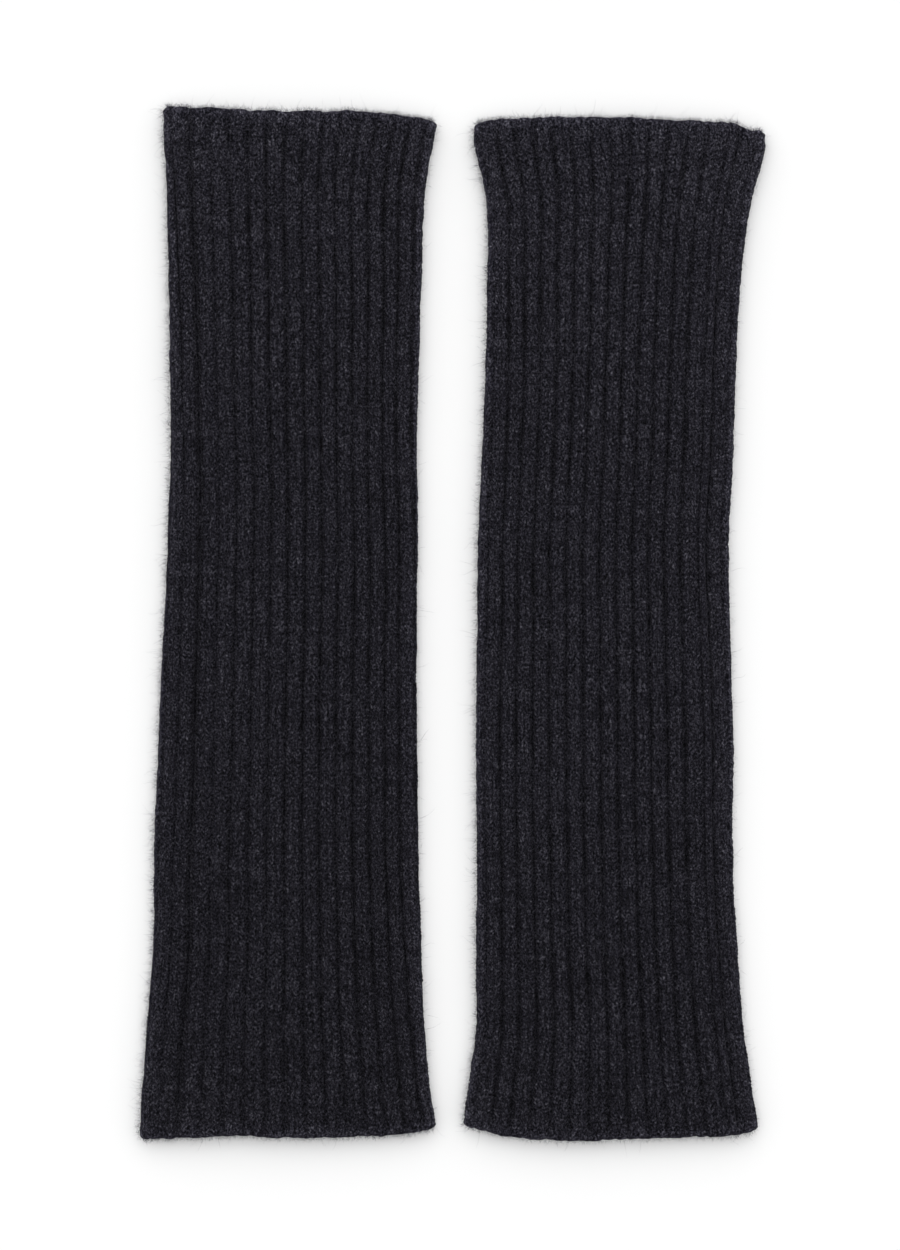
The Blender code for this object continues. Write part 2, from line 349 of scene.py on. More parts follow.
def wrap_round(distance, left, right):
    """Points and outward normals on the flattened tube.

    Its section is a flat top, a half circle at either fold and a flat underside.
    """
    flat = right - left - 2 * FOLD_RADIUS
    far_turn = QUARTER_TURN + flat
    angle_left = np.clip(distance / FOLD_RADIUS, -np.pi / 2, np.pi / 2)
    angle_right = np.clip((distance - far_turn) / FOLD_RADIUS, 0, np.pi)
    over_left = distance <= QUARTER_TURN
    across = np.where(over_left, -np.cos(angle_left), np.sin(angle_right))
    up = np.where(over_left, np.sin(angle_left), np.cos(angle_right))
    along_top = np.clip(distance - QUARTER_TURN, 0, flat)
    under_left = np.clip(-QUARTER_TURN - distance, 0, None)
    under_right = np.clip(distance - far_turn - 2 * QUARTER_TURN, 0, None)
    x = left + FOLD_RADIUS + along_top + under_left - under_right + FOLD_RADIUS * across
    z = FOLD_RADIUS + FOLD_RADIUS * up
    return x, z, across, up


# %% A place on a leg's skin
class Place:
    """Places on a leg's outer skin, as arrays in mm.

    x and z lie in the cross section, (across, up) is the normal there, left and right are the two
    folds, share runs from 0 at the lower end to 1 at the upper one, and edge is the distance from
    the nearer end.
    """

    def __init__(self, leg, share, rib=None, distance=None):
        middle = 0.5 * (leg["lower_edge"][:, 1].mean() + leg["upper_edge"][:, 1].mean())
        along = middle + (share - 0.5) * LEG_LENGTH
        self.leg = leg
        self.share = share
        self.edge = LEG_LENGTH * np.minimum(share, 1 - share)
        self.left = read_table(leg["folds"], 1, along) + RIB_RISE
        self.right = read_table(leg["folds"], 2, along) - RIB_RISE
        if distance is None:
            distance = distance_round(leg, rib, along, self.right - self.left)
        self.x, self.z, self.across, self.up = wrap_round(distance, self.left, self.right)


# %% Onto the table
def lift(across, share, edge):
    """How far the upper layer stands above its lowest place.

    An open mouth falls off as exp(-distance / reach), and slow sine waves run between the mouths.
    Both are times a parabola that is 0 at the folds and 1 midway between them.
    """
    bow = np.clip(4 * across * (1 - across), 0, 1)
    along = (share - 0.5) * LEG_LENGTH
    mouth = MOUTH_LIFT * np.exp(-edge / MOUTH_REACH)
    phase = 2 * np.pi * along / WAVE_LENGTH + WAVE_SLANT * across
    return bow * (mouth + 0.5 * WAVE_RISE * (1 + np.sin(phase)))


def towards_folds(place, x, reach):
    """1 at the left fold, -1 at the right one, and falling off as exp(-distance / reach)."""
    return np.exp(-np.abs(x - place.left) / reach) - np.exp(-np.abs(place.right - x) / reach)


def stand(place, x, z):
    """Stands points of a cross section in the leg, between its bowed ends, and returns metres."""
    leg = place.leg
    across = (x - place.left) / (place.right - place.left)
    rough = uneven(leg["end_waves"], x / RIB_PITCH, place.share)
    reach = np.clip(CORNER_RADIUS - place.edge, 0, CORNER_RADIUS)
    inset = CORNER_RADIUS - np.sqrt(CORNER_RADIUS ** 2 - reach ** 2)
    inward = inset * towards_folds(place, x, CORNER_REACH)
    inward = inward - FOLD_UNEVEN * rough * towards_folds(place, x, UNEVEN_REACH)
    lower = read_table(leg["lower_edge"], 1, across)
    upper = read_table(leg["upper_edge"], 1, across)
    y = lower + (upper - lower) * place.share
    y = y + END_UNEVEN * rough * np.exp(-place.edge / UNEVEN_REACH)
    z = z + np.clip(place.up, 0, None) * lift(across, place.share, place.edge)
    return np.stack([x + inward, y, z], axis=-1) * MM


def push_out(place, out):
    """Points that lie a distance out of the skin, along its normal, in metres."""
    return stand(place, place.x + place.across * out, place.z + place.up * out)


# %% [markdown]
# ## Making a mesh from arrays
#
# Blender takes a mesh fastest as flat arrays: all places, then the corners of all faces. Every
# piece below has faces of one kind, all triangles or all four-sided, which keeps the arrays simple.
# Each piece also carries a map called OFBake, which gives every part of its surface a place of its
# own on one square sheet.

# %% One mesh from its arrays
def lay_mesh(name, points, faces, maps, marks):
    """A smooth-shaded mesh object.

    maps are corner maps, an (n, 2) array each, and marks are one number a point.
    """
    sides = faces.shape[1]
    mesh = bpy.data.meshes.new(name)
    mesh.vertices.add(len(points))
    mesh.vertices.foreach_set("co", points.astype(np.float32).ravel())
    mesh.loops.add(faces.size)
    mesh.loops.foreach_set("vertex_index", faces.astype(np.int32).ravel())
    mesh.polygons.add(len(faces))
    mesh.polygons.foreach_set("loop_start", np.arange(0, faces.size, sides, dtype=np.int32))
    mesh.update(calc_edges=True)
    for map_name, places in maps.items():
        layer = mesh.uv_layers.new(name=map_name)
        layer.uv.foreach_set("vector", places.astype(np.float32).ravel())
    for mark, values in marks.items():
        attribute = mesh.attributes.new(mark, "FLOAT", "POINT")
        attribute.data.foreach_set("value", values.astype(np.float32).ravel())
    mesh.shade_smooth()
    made = bpy.data.objects.new(name, mesh)
    bpy.context.scene.collection.objects.link(made)
    print(name, len(points), "points,", len(faces) * (sides - 2), "triangles")
    return made


# %% [markdown]
# ## The ground cloth
#
# This is the body of the knit: a closed shell with an outer skin, an inner skin and two rolled
# ends. It could be the solid itself with a bump map, but then its outline would stay coarse.
# Instead it is one grid, wrapped both ways like a torus: round the tube, and along the outside,
# over one end, back along the inside and over the other end. On top it lies a stitch's height lower
# than the solid, because the stitches lie on it.

# %% Sizes of the relief, in mm or as shares of a rib
STITCH_HEIGHT = 0.32      # of a strand's crown over the ground
GROOVE_FLOOR = 0.03       # where a rib's flank starts, as a share of a rib from the groove's middle
RIB_SHOULDER = 0.24       # and where it ends
TOP_ROUND = 0.18          # how much of its height the rib's top has still to rise there
FOLD_FILL = 0.6           # how far a fold stretches its grooves flat
SEAM_CUT = 0.35           # how much deeper the seam lies, and its half width as a share of a rib
SEAM_HALF_WIDTH = 0.12
CREASE_CUT = 0.5          # how deep a crease is, and its half width
CREASE_HALF_WIDTH = 0.04
CREASE_FADES = (0.08, 0.02)   # how softly it starts and ends, as shares of the leg
UNDER_GROOVE = 0.45       # of the grooves on the pressed underside
UNDER_POWER = 1.5         # and how narrow they are
EDGE_ROLL = 0.28          # the bound-off end is a soft roll: its height, its middle and its width
ROLL_PLACE = 1.9
ROLL_WIDTH = 1.5
RIBS_AT_END = 0.50        # of a rib's height that shows at the very end
RIBS_FULL = 8.0           # distance from an end where the ribs stand in full
END_WALL = 0.35           # of the wall that is left at the very end
END_ROUND = 2.0           # distance from an end where the wall is whole
# What part of the section a place belongs to, by how far its normal points up, from -1 to 1
UNDER_TO_FOLD = (-0.9, -0.1)
FOLD_TO_TOP = (0.1, 0.9)
FOLD_TO_FLAT_UNDER = (0.6, 1.0)   # by how far it points down


# %% Heights of the relief
def bell(offset, half_width):
    """exp(-(offset / half width)^2): 1 in the middle, and 0.37 at the half width."""
    return np.exp(-(offset / half_width) ** 2)


def crown(rib):
    """The section of a rib: 0 on the floor of a groove, an S-curve up, and a gently domed top."""
    from_groove = np.abs(rib - np.round(rib))
    flank = smooth_step(from_groove, GROOVE_FLOOR, RIB_SHOULDER)
    return flank * (1 - TOP_ROUND * (1 - 2 * from_groove) ** 2)


def crease(leg, rib, share):
    """1 along the middle of a creased groove, falling off as a narrow bell and at its ends."""
    fade_in, fade_out = CREASE_FADES
    total = np.zeros(np.broadcast(rib, share).shape)
    for groove, low, high in leg["creases"]:
        started = smooth_step(share, low - fade_in, low + fade_in)
        ended = smooth_step(share, high - fade_out, high + fade_out)
        total = total + started * (1 - ended) * bell(rib - groove, CREASE_HALF_WIDTH)
    return total


def rib_strength(edge):
    """How much of the ribs shows: half of their height at the very end, all of it further in."""
    return RIBS_AT_END + (1 - RIBS_AT_END) * smooth_step(edge, 0, RIBS_FULL)


def wall_share(edge):
    """How much of the wall's thickness is there: the end is rounded off like a quarter circle."""
    inside = np.clip(edge / END_ROUND, 0, 1)
    return END_WALL + (1 - END_WALL) * np.sqrt(1 - (1 - inside) ** 2)


def upper_side(place):
    """1 on the top and the folds, 0 underneath, with an S-curve round each fold's lower half."""
    return smooth_step(place.up, *UNDER_TO_FOLD)


# %% The surface of the knit and its ground
def surface_out(leg, place, rib):
    """Height of the finished knit over the plain skin: ribs, soft end roll and lumps."""
    filled = FOLD_FILL * (1 - smooth_step(place.up, *FOLD_TO_TOP))
    ribs = RIB_RISE * (crown(rib) + filled * (1 - crown(rib))) * rib_strength(place.edge)
    roll = EDGE_ROLL * bell(place.edge - ROLL_PLACE, ROLL_WIDTH)
    lumps = LUMP * uneven(leg["lump_waves"], rib, place.share)
    lumps = lumps * smooth_step(place.edge, 0, RIBS_FULL)
    wall = np.where(place.up > 0, UPPER_WALL, LOWER_WALL)
    thinned = 0.5 * (1 - wall_share(place.edge)) * wall
    return upper_side(place) * (ribs + roll + lumps) - thinned


def ground_out(leg, place, rib):
    """Height of the ground cloth: under the stitches on top, pressed flat underneath.

    The seam and the creases are cut deeper. The pressed grooves are the dip of a rib's section
    to a power, which makes them narrower.
    """
    strength = rib_strength(place.edge)
    seam = SEAM_CUT * bell(rib - leg["seam"], SEAM_HALF_WIDTH) * strength
    line = CREASE_CUT * crease(leg, rib, place.share)
    cut = upper_side(place) * (STITCH_HEIGHT * strength + seam + line)
    pressed = UNDER_GROOVE * (1 - crown(rib)) ** UNDER_POWER * strength
    pressed = smooth_step(-place.up, *FOLD_TO_FLAT_UNDER) * pressed
    return surface_out(leg, place, rib) - cut - pressed


# %% [markdown]
# ## Painted shade, painted light and wear
#
# Two marks go with every point of the knit, and both are painted into the colour. The first is
# painted shade, how much of the light the fibres would take away: most on both sides of a groove, a
# little between the two wales of a rib. The second makes the wool paler, partly from wear and
# partly
# as painted light: most along the folds and the ends, more towards the upper end and less near the
# lower one.

# %% Sizes of the painted shades, and of the paling from wear and painted light
NARROW_RIB = 0.7          # a rib narrower than this has one wale, and the others have two
SHADE_FULL = 0.125        # how far from a groove's middle its shade is full, as a share of a rib
SHADE_GONE = 0.225        # and how far it reaches
SHADE_IN_MIDDLE = 0.74    # of the full shade, right in the middle, where the fibres part
MIDDLE_REACH = 0.10       # and how far from there they close up again
ENDS_OPEN = 0.80          # of the shade that the grooves have at an end
OPEN_REACH = 35.0         # and how far in from there they have all of it, in mm
OPEN_MEAN = 0.95          # the grooves part and close up along the leg: mean, spread and limits
OPEN_SPREAD = 0.16
OPEN_LIMITS = (0.5, 1.3)
SEAM_SHADE = 0.25         # how much wider and darker the seam's shade is
SEAM_GROOVE = 0.4         # how far to either side its groove reaches
VALLEY_SHADE = 0.48       # of the valley between the two wales of a rib, against a groove's
VALLEY_HALF_WIDTH = 0.085
CREASE_SHADE = 0.5
INSIDE_PAINTED_SHADE = 0.4         # painted shade over the whole inside
FOLD_PALE_REACH = 2.4      # how far the paling from wear and painted light is felt from a fold, and from an end, in mm
END_PALE_REACH = 2.2
MOST_PALE = 1.2         # of both together, in a corner
UPPER_PAINTED_LIGHT = 0.28          # more paling at the upper end, as painted light, and how far that is felt, in mm
UPPER_REACH = 60.0
SLOW_PAINTED_LIGHT = 0.20           # and a little more painted light all the way up
LOWER_PAINTED_SHADE = 0.11        # painted shade near the lower end, which takes some of it away
LOWER_SHADE_BAND = (0.12, 0.42)     # which ends between these shares of the leg


# %% The marks of painted shade, and of wear and painted light
def shade_strength(leg, rib, place):
    """How strongly shade is painted on the nearest groove: as the leg's table says, less at both
    ends.

    On a leg whose ribs lie open towards its lower left corner, it is less there too.
    """
    depths = np.array([*leg["groove_depths"], 1.0])
    groove = np.round(rib).astype(int)
    listed = (groove >= 0) & (groove <= RIBS)
    depth = depths[np.where(listed, groove, -1)]
    to_left = 1 - np.clip(rib / RIBS, 0, 1)
    depth = depth * (1 - leg["open_below"] * to_left * (1 - place.share))
    return depth * (ENDS_OPEN + (1 - ENDS_OPEN) * smooth_step(place.edge, 0, OPEN_REACH))


def has_two_wales(leg, rib):
    """True where the rib is an ordinary one, and False where it is a narrow one."""
    widths = np.concatenate([[1], leg["rib_widths"], [1]])
    return widths[np.clip(np.floor(rib).astype(int) + 1, 0, RIBS + 1)] > NARROW_RIB


def shade_painted_on_grooves(leg, rib, place):
    """The painted shade of the fibres on both sides at a place: a flat-topped bell round each
    groove.

    It changes along the grooves as the ribs part and close up, and the seam's groove is a little
    wider. Between the two wales of a rib lies a slight valley, a bell of its own.
    """
    wider = 1 + SEAM_SHADE * (np.abs(rib - leg["seam"]) < SEAM_GROOVE)
    from_groove = np.abs(rib - np.round(rib)) / wider
    parted = (1 - SHADE_IN_MIDDLE) * (1 - smooth_step(from_groove, 0, MIDDLE_REACH))
    shade = wider * (1 - smooth_step(from_groove, SHADE_FULL, SHADE_GONE) - parted)
    open_share = OPEN_MEAN + OPEN_SPREAD * uneven(leg["shade_waves"], rib, place.share)
    shade = shade * np.clip(open_share, *OPEN_LIMITS) * shade_strength(leg, rib, place)
    valley = VALLEY_SHADE * bell(rib - np.floor(rib) - 0.5, VALLEY_HALF_WIDTH)
    shade = shade + valley * has_two_wales(leg, rib)
    return shade * rib_strength(place.edge) + CREASE_SHADE * crease(leg, rib, place.share)


def wear_and_painted_light(place):
    """Paler from wear and painted light: most at the outline, more towards the upper end."""
    from_fold = np.minimum(place.x - place.left, place.right - place.x)
    at_fold = np.exp(-np.clip(from_fold, 0, None) / FOLD_PALE_REACH)
    at_end = np.exp(-place.edge / END_PALE_REACH)
    from_upper = (1 - place.share) * LEG_LENGTH
    upper = UPPER_PAINTED_LIGHT * np.exp(-from_upper / UPPER_REACH) + SLOW_PAINTED_LIGHT * place.share ** 2
    lower = LOWER_PAINTED_SHADE * (1 - smooth_step(place.share, *LOWER_SHADE_BAND))
    return np.minimum(at_fold + at_end, MOST_PALE) + upper - lower + place.leg["paler"]


# %% [markdown]
# ## One grid for both skins
#
# The shell needs many columns on the steep flanks of the ribs, few underneath, and rows that crowd
# together where the ends turn inwards. A cylinder from Blender's own menu has even faces, which
# would either miss the grooves or cost many times as many. So the steps are listed once, and the
# same lists give the points, the faces and both maps.

# %% The grid of the ground cloth
# Columns of a rib on top and underneath, as shares of it, and rows near an end, in mm from it
OVER_STEPS = np.array([0.0, 0.06, 0.12, 0.19, 0.32, 0.50, 0.68, 0.81, 0.88, 0.94])
UNDER_STEPS = np.array([0.0, 0.13, 0.50, 0.87])
END_ROWS = np.array([0.0, 0.15, 0.45, 0.9, 1.5, 2.4, 3.6, 5.0, 7.0])
MIDDLE_ROWS = 62          # rows between those, outside and inside
INNER_ROWS = 12
INNER_END_ROWS = 4        # how many of the rows near an end the inside has
OUTSIDE_ON_MAP = 0.64     # share of the map's height that the outer skin takes
END_ON_MAP = 0.02         # and either end


def row_shares(ends, middle):
    """Shares along the leg: rows at these distances from both ends, and even rows between them."""
    near = ends / LEG_LENGTH
    between = np.linspace(near[-1], 1 - near[-1], middle + 2)[1:-1]
    return np.concatenate([near, between, 1 - near[::-1]])


def ground_columns():
    """Rib coordinates all round the tube, closer together in the grooves on top."""
    over = np.arange(FIRST_RIB, LAST_OVER)[:, None] + OVER_STEPS
    under = np.arange(LAST_OVER, LAST_OVER + RIBS_UNDER)[:, None] + UNDER_STEPS
    return np.concatenate([over.ravel(), under.ravel()])


def torus_faces(rows, columns):
    """Four-sided faces of a grid that closes on itself both ways, as rows of four point numbers."""
    row, column = np.meshgrid(np.arange(rows), np.arange(columns), indexing="ij")
    next_row = (row + 1) % rows
    next_column = (column + 1) % columns
    corners = [(row, column), (row, next_column), (next_row, next_column), (next_row, column)]
    return np.stack([(r * columns + c).ravel() for r, c in corners], axis=1)


def torus_map(row_values, column_values):
    """The same faces' corners on a map, where the last row and column run on, not back.

    Both lists hold one more value than the grid has rows or columns: the one beyond the wrap.
    """
    low, left = np.meshgrid(row_values[:-1], column_values[:-1], indexing="ij")
    high, right = np.meshgrid(row_values[1:], column_values[1:], indexing="ij")
    corners = [(left, low), (right, low), (right, high), (left, high)]
    places = [np.stack([u.ravel(), v.ravel()], axis=1) for u, v in corners]
    return np.stack(places, axis=1).reshape(-1, 2)


# %% Both skins of the ground cloth
def inner_skin(leg, rib, share):
    """The inside: the outer skin drawn in by the wall, so that only a slit is left in the tube."""
    place = Place(leg, share, rib=rib)
    kept = 0.5 * (1 + wall_share(place.edge))
    roof = 2 * FOLD_RADIUS - UPPER_WALL * kept
    floor = LOWER_WALL * kept
    x = place.x - place.across * UPPER_WALL * kept
    z = 0.5 * (roof + floor) + 0.5 * (roof - floor) * place.up
    return stand(place, x, z)


def ground_cloth(leg):
    """The shell of one leg: outer rows from the lower end to the upper, inner rows back down."""
    columns = ground_columns()
    outer_rows = row_shares(END_ROWS, MIDDLE_ROWS)
    inner_rows = row_shares(END_ROWS[:INNER_END_ROWS], INNER_ROWS)[::-1]
    share, rib = np.meshgrid(outer_rows, columns, indexing="ij")
    place = Place(leg, share, rib=swayed(leg, rib, share))
    outer = push_out(place, ground_out(leg, place, rib))
    inner_share, inner_rib = np.meshgrid(inner_rows, columns, indexing="ij")
    inner = inner_skin(leg, inner_rib, inner_share)
    points = np.concatenate([outer, inner]).reshape(-1, 3)
    inside = np.zeros(inner_rib.size)
    # painted shade on the outer skin's grooves and over the whole inside; wear and painted light on
    # the outer skin only
    marks = {
        "painted_shade": np.concatenate([shade_painted_on_grooves(leg, rib, place).ravel(), inside + INSIDE_PAINTED_SHADE]),
        "wear_and_painted_light": np.concatenate([wear_and_painted_light(place).ravel(), inside]),
    }

    rows = np.concatenate([outer_rows, inner_rows])
    columns_closed = np.append(columns, FIRST_RIB + RIBS_ROUND)
    inside_from = OUTSIDE_ON_MAP + END_ON_MAP
    inside_size = 1 - inside_from - END_ON_MAP
    inner_map = inside_from + (1 - inner_rows) * inside_size
    map_rows = np.concatenate([outer_rows * OUTSIDE_ON_MAP, inner_map, [1]])
    maps = {
        "OFBake": torus_map(map_rows, (columns_closed - FIRST_RIB) / RIBS_ROUND),
        "knit": torus_map(np.append(rows, 0) * COURSES, columns_closed),
    }
    faces = torus_faces(len(rows), len(columns))
    return lay_mesh(leg["name"] + "_cloth", points, faces, maps, marks)


cloths = {side: ground_cloth(leg) for side, leg in LEGS.items()}

# %% [markdown]
# ## Strands
#
# Stitches, seam yarn, bound-off loops and fuzz are all the same thing at different sizes: a short
# strand, thick in the middle and closed to a point at both ends. Its section has three sides, which
# smooth shading rounds, so a strand costs only a dozen triangles. One template of faces serves any
# number of strands.

# %% Faces of many strands at once
def strand_template(rings):
    """Faces and map corners of one strand: a point, then rings of three corners, then a point.

    Point 0 is the first tip, ring k holds points 1 + 3k to 3 + 3k, and the last point is the
    second tip. Side s of a ring lies between its corners s and s + 1, and takes a third of the
    map's width.
    """
    ring, side = (a.ravel() for a in np.meshgrid(np.arange(rings - 1), np.arange(3), indexing="ij"))
    a = 1 + 3 * ring + side
    b = 1 + 3 * ring + (side + 1) % 3
    first = np.stack([a, b, b + 3], axis=1)
    second = np.stack([a, b + 3, a + 3], axis=1)
    u, v, step = side / 3, (ring + 1) / (rings + 1), 1 / (rings + 1)
    first_map = np.stack([u, v, u + 1 / 3, v, u + 1 / 3, v + step], axis=1)
    second_map = np.stack([u, v, u + 1 / 3, v + step, u, v + step], axis=1)

    side = np.arange(3)
    after = (side + 1) % 3
    last = 3 * rings + 1
    start = np.stack([np.zeros(3, int), 1 + after, 1 + side], axis=1)
    end = np.stack([last - 3 + side, last - 3 + after, np.full(3, last)], axis=1)
    left, middle, right = side / 3, side / 3 + 1 / 6, side / 3 + 1 / 3
    bottom, low, high, top = (np.full(3, height) for height in (0.0, step, 1 - step, 1.0))
    start_map = np.stack([middle, bottom, right, low, left, low], axis=1)
    end_map = np.stack([left, high, right, high, middle, top], axis=1)
    faces = np.concatenate([first, second, start, end])
    places = np.concatenate([first_map, second_map, start_map, end_map])
    return faces, places.reshape(-1, 3, 2)


def in_order(tips, rings):
    """Values at a strand's points in its mesh's order: first tip, all rings, second tip."""
    inner = rings.reshape(len(rings), -1, *tips.shape[2:])
    return np.concatenate([tips[:, :1], inner, tips[:, 1:]], axis=1)


# %% Many strands as one mesh
MAP_MARGIN = 0.04         # round each strand in its cell of the map, as a share of the cell
YARN_STARTS = 300.0       # strands start anywhere on this much yarn, in mm


def strand_mesh(name, tips, rings, marks, yarn_size=None, draws=None):
    """Many strands as one mesh. tips is (n, 2, 3) and rings is (n, rings, 3 corners, 3).

    marks hold one number a strand or one a point. yarn_size is a strand's girth and length in mm:
    with it, a second map runs round and along each strand in mm, from a random start, so that
    fibres can follow the yarn.
    """
    count, ring_count = rings.shape[:2]
    size = 3 * ring_count + 2
    points = in_order(tips, rings).reshape(-1, 3)
    template, template_map = strand_template(ring_count)
    faces = (template[None] + size * np.arange(count)[:, None, None]).reshape(-1, 3)
    cells = int(np.ceil(np.sqrt(count)))
    cell = np.stack([np.arange(count) % cells, np.arange(count) // cells], axis=1)
    in_cell = MAP_MARGIN + (1 - 2 * MAP_MARGIN) * template_map
    maps = {"OFBake": ((cell[:, None, None, :] + in_cell[None]) / cells).reshape(-1, 2)}
    if yarn_size:
        start = draws.uniform(0, YARN_STARTS, (count, 1, 1, 2))
        maps["yarn"] = (start + template_map[None] * yarn_size).reshape(-1, 2)
    spread = {}
    for mark, values in marks.items():
        spread[mark] = np.broadcast_to(values.reshape(count, -1), (count, size))
    return lay_mesh(name, points, faces, maps, spread)


# %% [markdown]
# ## The stitches
#
# Each knit stitch shows as a V: its two legs rise from the middle of the wale to its sides and tuck
# under the stitch above. An ordinary rib is two wales wide, and the narrow rib beside the right
# seam is one. A leg is laid as a strand in the knit's own coordinates, so it follows the ribs, the
# folds and the flares by itself. The size, place and shade of each leg vary a little, because this
# is a melange yarn: fibres dyed dark and light, spun together, so that every stitch comes out as
# its own mix.

# %% Wales and the legs of their stitches
# The middle of each wale of a rib and its half widths to the left and right, as shares of a rib
WALES = ((0.295, 0.245, 0.200), (0.705, 0.200, 0.245))
NARROW_WALES = ((0.5, 0.40, 0.40),)
LEG_FOOT = 0.06           # how far from its wale's middle a leg starts, in half widths
LEG_HEAD = 0.97           # and how far out it ends
LEG_START = 0.25          # how far below its course it starts, in courses
LEG_RISE = 1.50           # and how far it climbs
LEG_HALF_WIDTH = 0.50     # mm
YARN_GIRTH = 2.2
# How much each leg differs: its foot and head in ribs, its start and rise in courses, and its
# width and height as shares of the usual
FOOT_SPREAD, HEAD_SPREAD = 0.012, 0.020
START_SPREAD, RISE_SPREAD = 0.10, 0.06
WIDTH_SPREAD, HEIGHT_SPREAD = 0.13, 0.16
RING_PLACES = (0.30, 0.72)    # where a strand's two rings are, as shares of its length
RING_SINK = 0.12          # how deep a ring's lower corners lie in the ground, in mm, and the tips
TIP_SINK = 0.05
FIRST_COURSE = 1.0        # the last courses at either end belong to the bound-off edge
FIRST_START = 0.4         # legs start and end at least this far in, in courses
FIRST_HEAD = 0.6
HIDDEN_BELOW = -0.35      # legs that face further down than this lie on the underside
LEAN = 0.10               # how far the crowns on a rib's flanks lean outwards, as a share of a rib


def wale_rows(leg):
    """Rows of rib coordinate and half widths to the left and the right, one a wale that shows."""
    rows = []
    for rib in range(FIRST_RIB, LAST_OVER):
        narrow = 0 <= rib < RIBS and leg["rib_widths"][rib] < NARROW_RIB
        rows += [(rib + middle, *halves) for middle, *halves in (NARROW_WALES if narrow else WALES)]
    return np.array(rows)


# %% Strands laid on the knit
def knit_points(leg, rib, course, height):
    """Points on or over the knit's ground at ribs and courses, in metres."""
    share = course / COURSES
    place = Place(leg, share, rib=swayed(leg, rib, share))
    base = surface_out(leg, place, rib) - upper_side(place) * STITCH_HEIGHT
    return push_out(place, base + height)


def lay_strands(leg, start_rib, start_course, end_rib, end_course, half_width, height):
    """Tips and rings of strands that lie on the knit from one place to another.

    All inputs are (n,) arrays. The third result holds the marks of painted shade, and of wear and
    painted light, at each point.
    """
    t = np.array(RING_PLACES)
    rib = start_rib[:, None] + (end_rib - start_rib)[:, None] * t
    course = start_course[:, None] + (end_course - start_course)[:, None] * t
    run_across = (end_rib - start_rib) * RIB_PITCH
    run_along = (end_course - start_course) * COURSE
    run = np.hypot(run_across, run_along)
    aside_rib = (half_width * run_along / run / RIB_PITCH)[:, None]
    aside_course = (-half_width * run_across / run / COURSE)[:, None]
    leaning = LEAN * (rib - np.floor(rib) - 0.5)
    ring_rib = np.stack([rib - aside_rib, rib + leaning, rib + aside_rib], axis=2)
    ring_course = np.stack([course - aside_course, course, course + aside_course], axis=2)
    ring_height = np.full(ring_rib.shape, -RING_SINK)
    ring_height[:, :, 1] = height[:, None]
    rings = knit_points(leg, ring_rib, ring_course, ring_height)
    tip_rib = np.stack([start_rib, end_rib], axis=1)
    tip_course = np.stack([start_course, end_course], axis=1)
    tips = knit_points(leg, tip_rib, tip_course, np.full(tip_rib.shape, -TIP_SINK))
    point_rib = in_order(tip_rib, ring_rib)
    place = Place(leg, in_order(tip_course, ring_course) / COURSES, rib=point_rib)
    return tips, rings, {"painted_shade": shade_painted_on_grooves(leg, point_rib, place), "wear_and_painted_light": wear_and_painted_light(place)}


# %% Every stitch of a leg warmer
OWN_MIX = 0.75            # how much of a strand's shade is its own, and how much is drift
DRIFT_MIX = 0.5
DRIFT_COLUMNS = 80        # of the grid that the drift is read from, and how many a rib crosses
DRIFT_PER_RIB = 2.3
BESIDE_SHARE = 0.7        # how much a place in that grid takes from its two neighbours
BELOW_SHARE = 0.5
MIDDLE_RIB = 7.0          # where a leg's stitches are parted into two pieces


def melange(draws, course, rib, count):
    """How light each strand is: its own mix, and a slower drift that neighbours share."""
    own = draws.standard_normal(count)
    grid = draws.standard_normal((COURSES + 2, DRIFT_COLUMNS))
    grid = grid + BESIDE_SHARE * np.roll(grid, 1, axis=1) + BELOW_SHARE * np.roll(grid, 1, axis=0)
    column = np.clip((rib - FIRST_RIB) * DRIFT_PER_RIB, 0, DRIFT_COLUMNS - 2)
    row = np.clip(course, 0, COURSES).astype(int)
    low = column.astype(int)
    part = column - low
    drift = grid[row, low] * (1 - part) + grid[row, low + 1] * part
    return OWN_MIX * own + DRIFT_MIX * drift


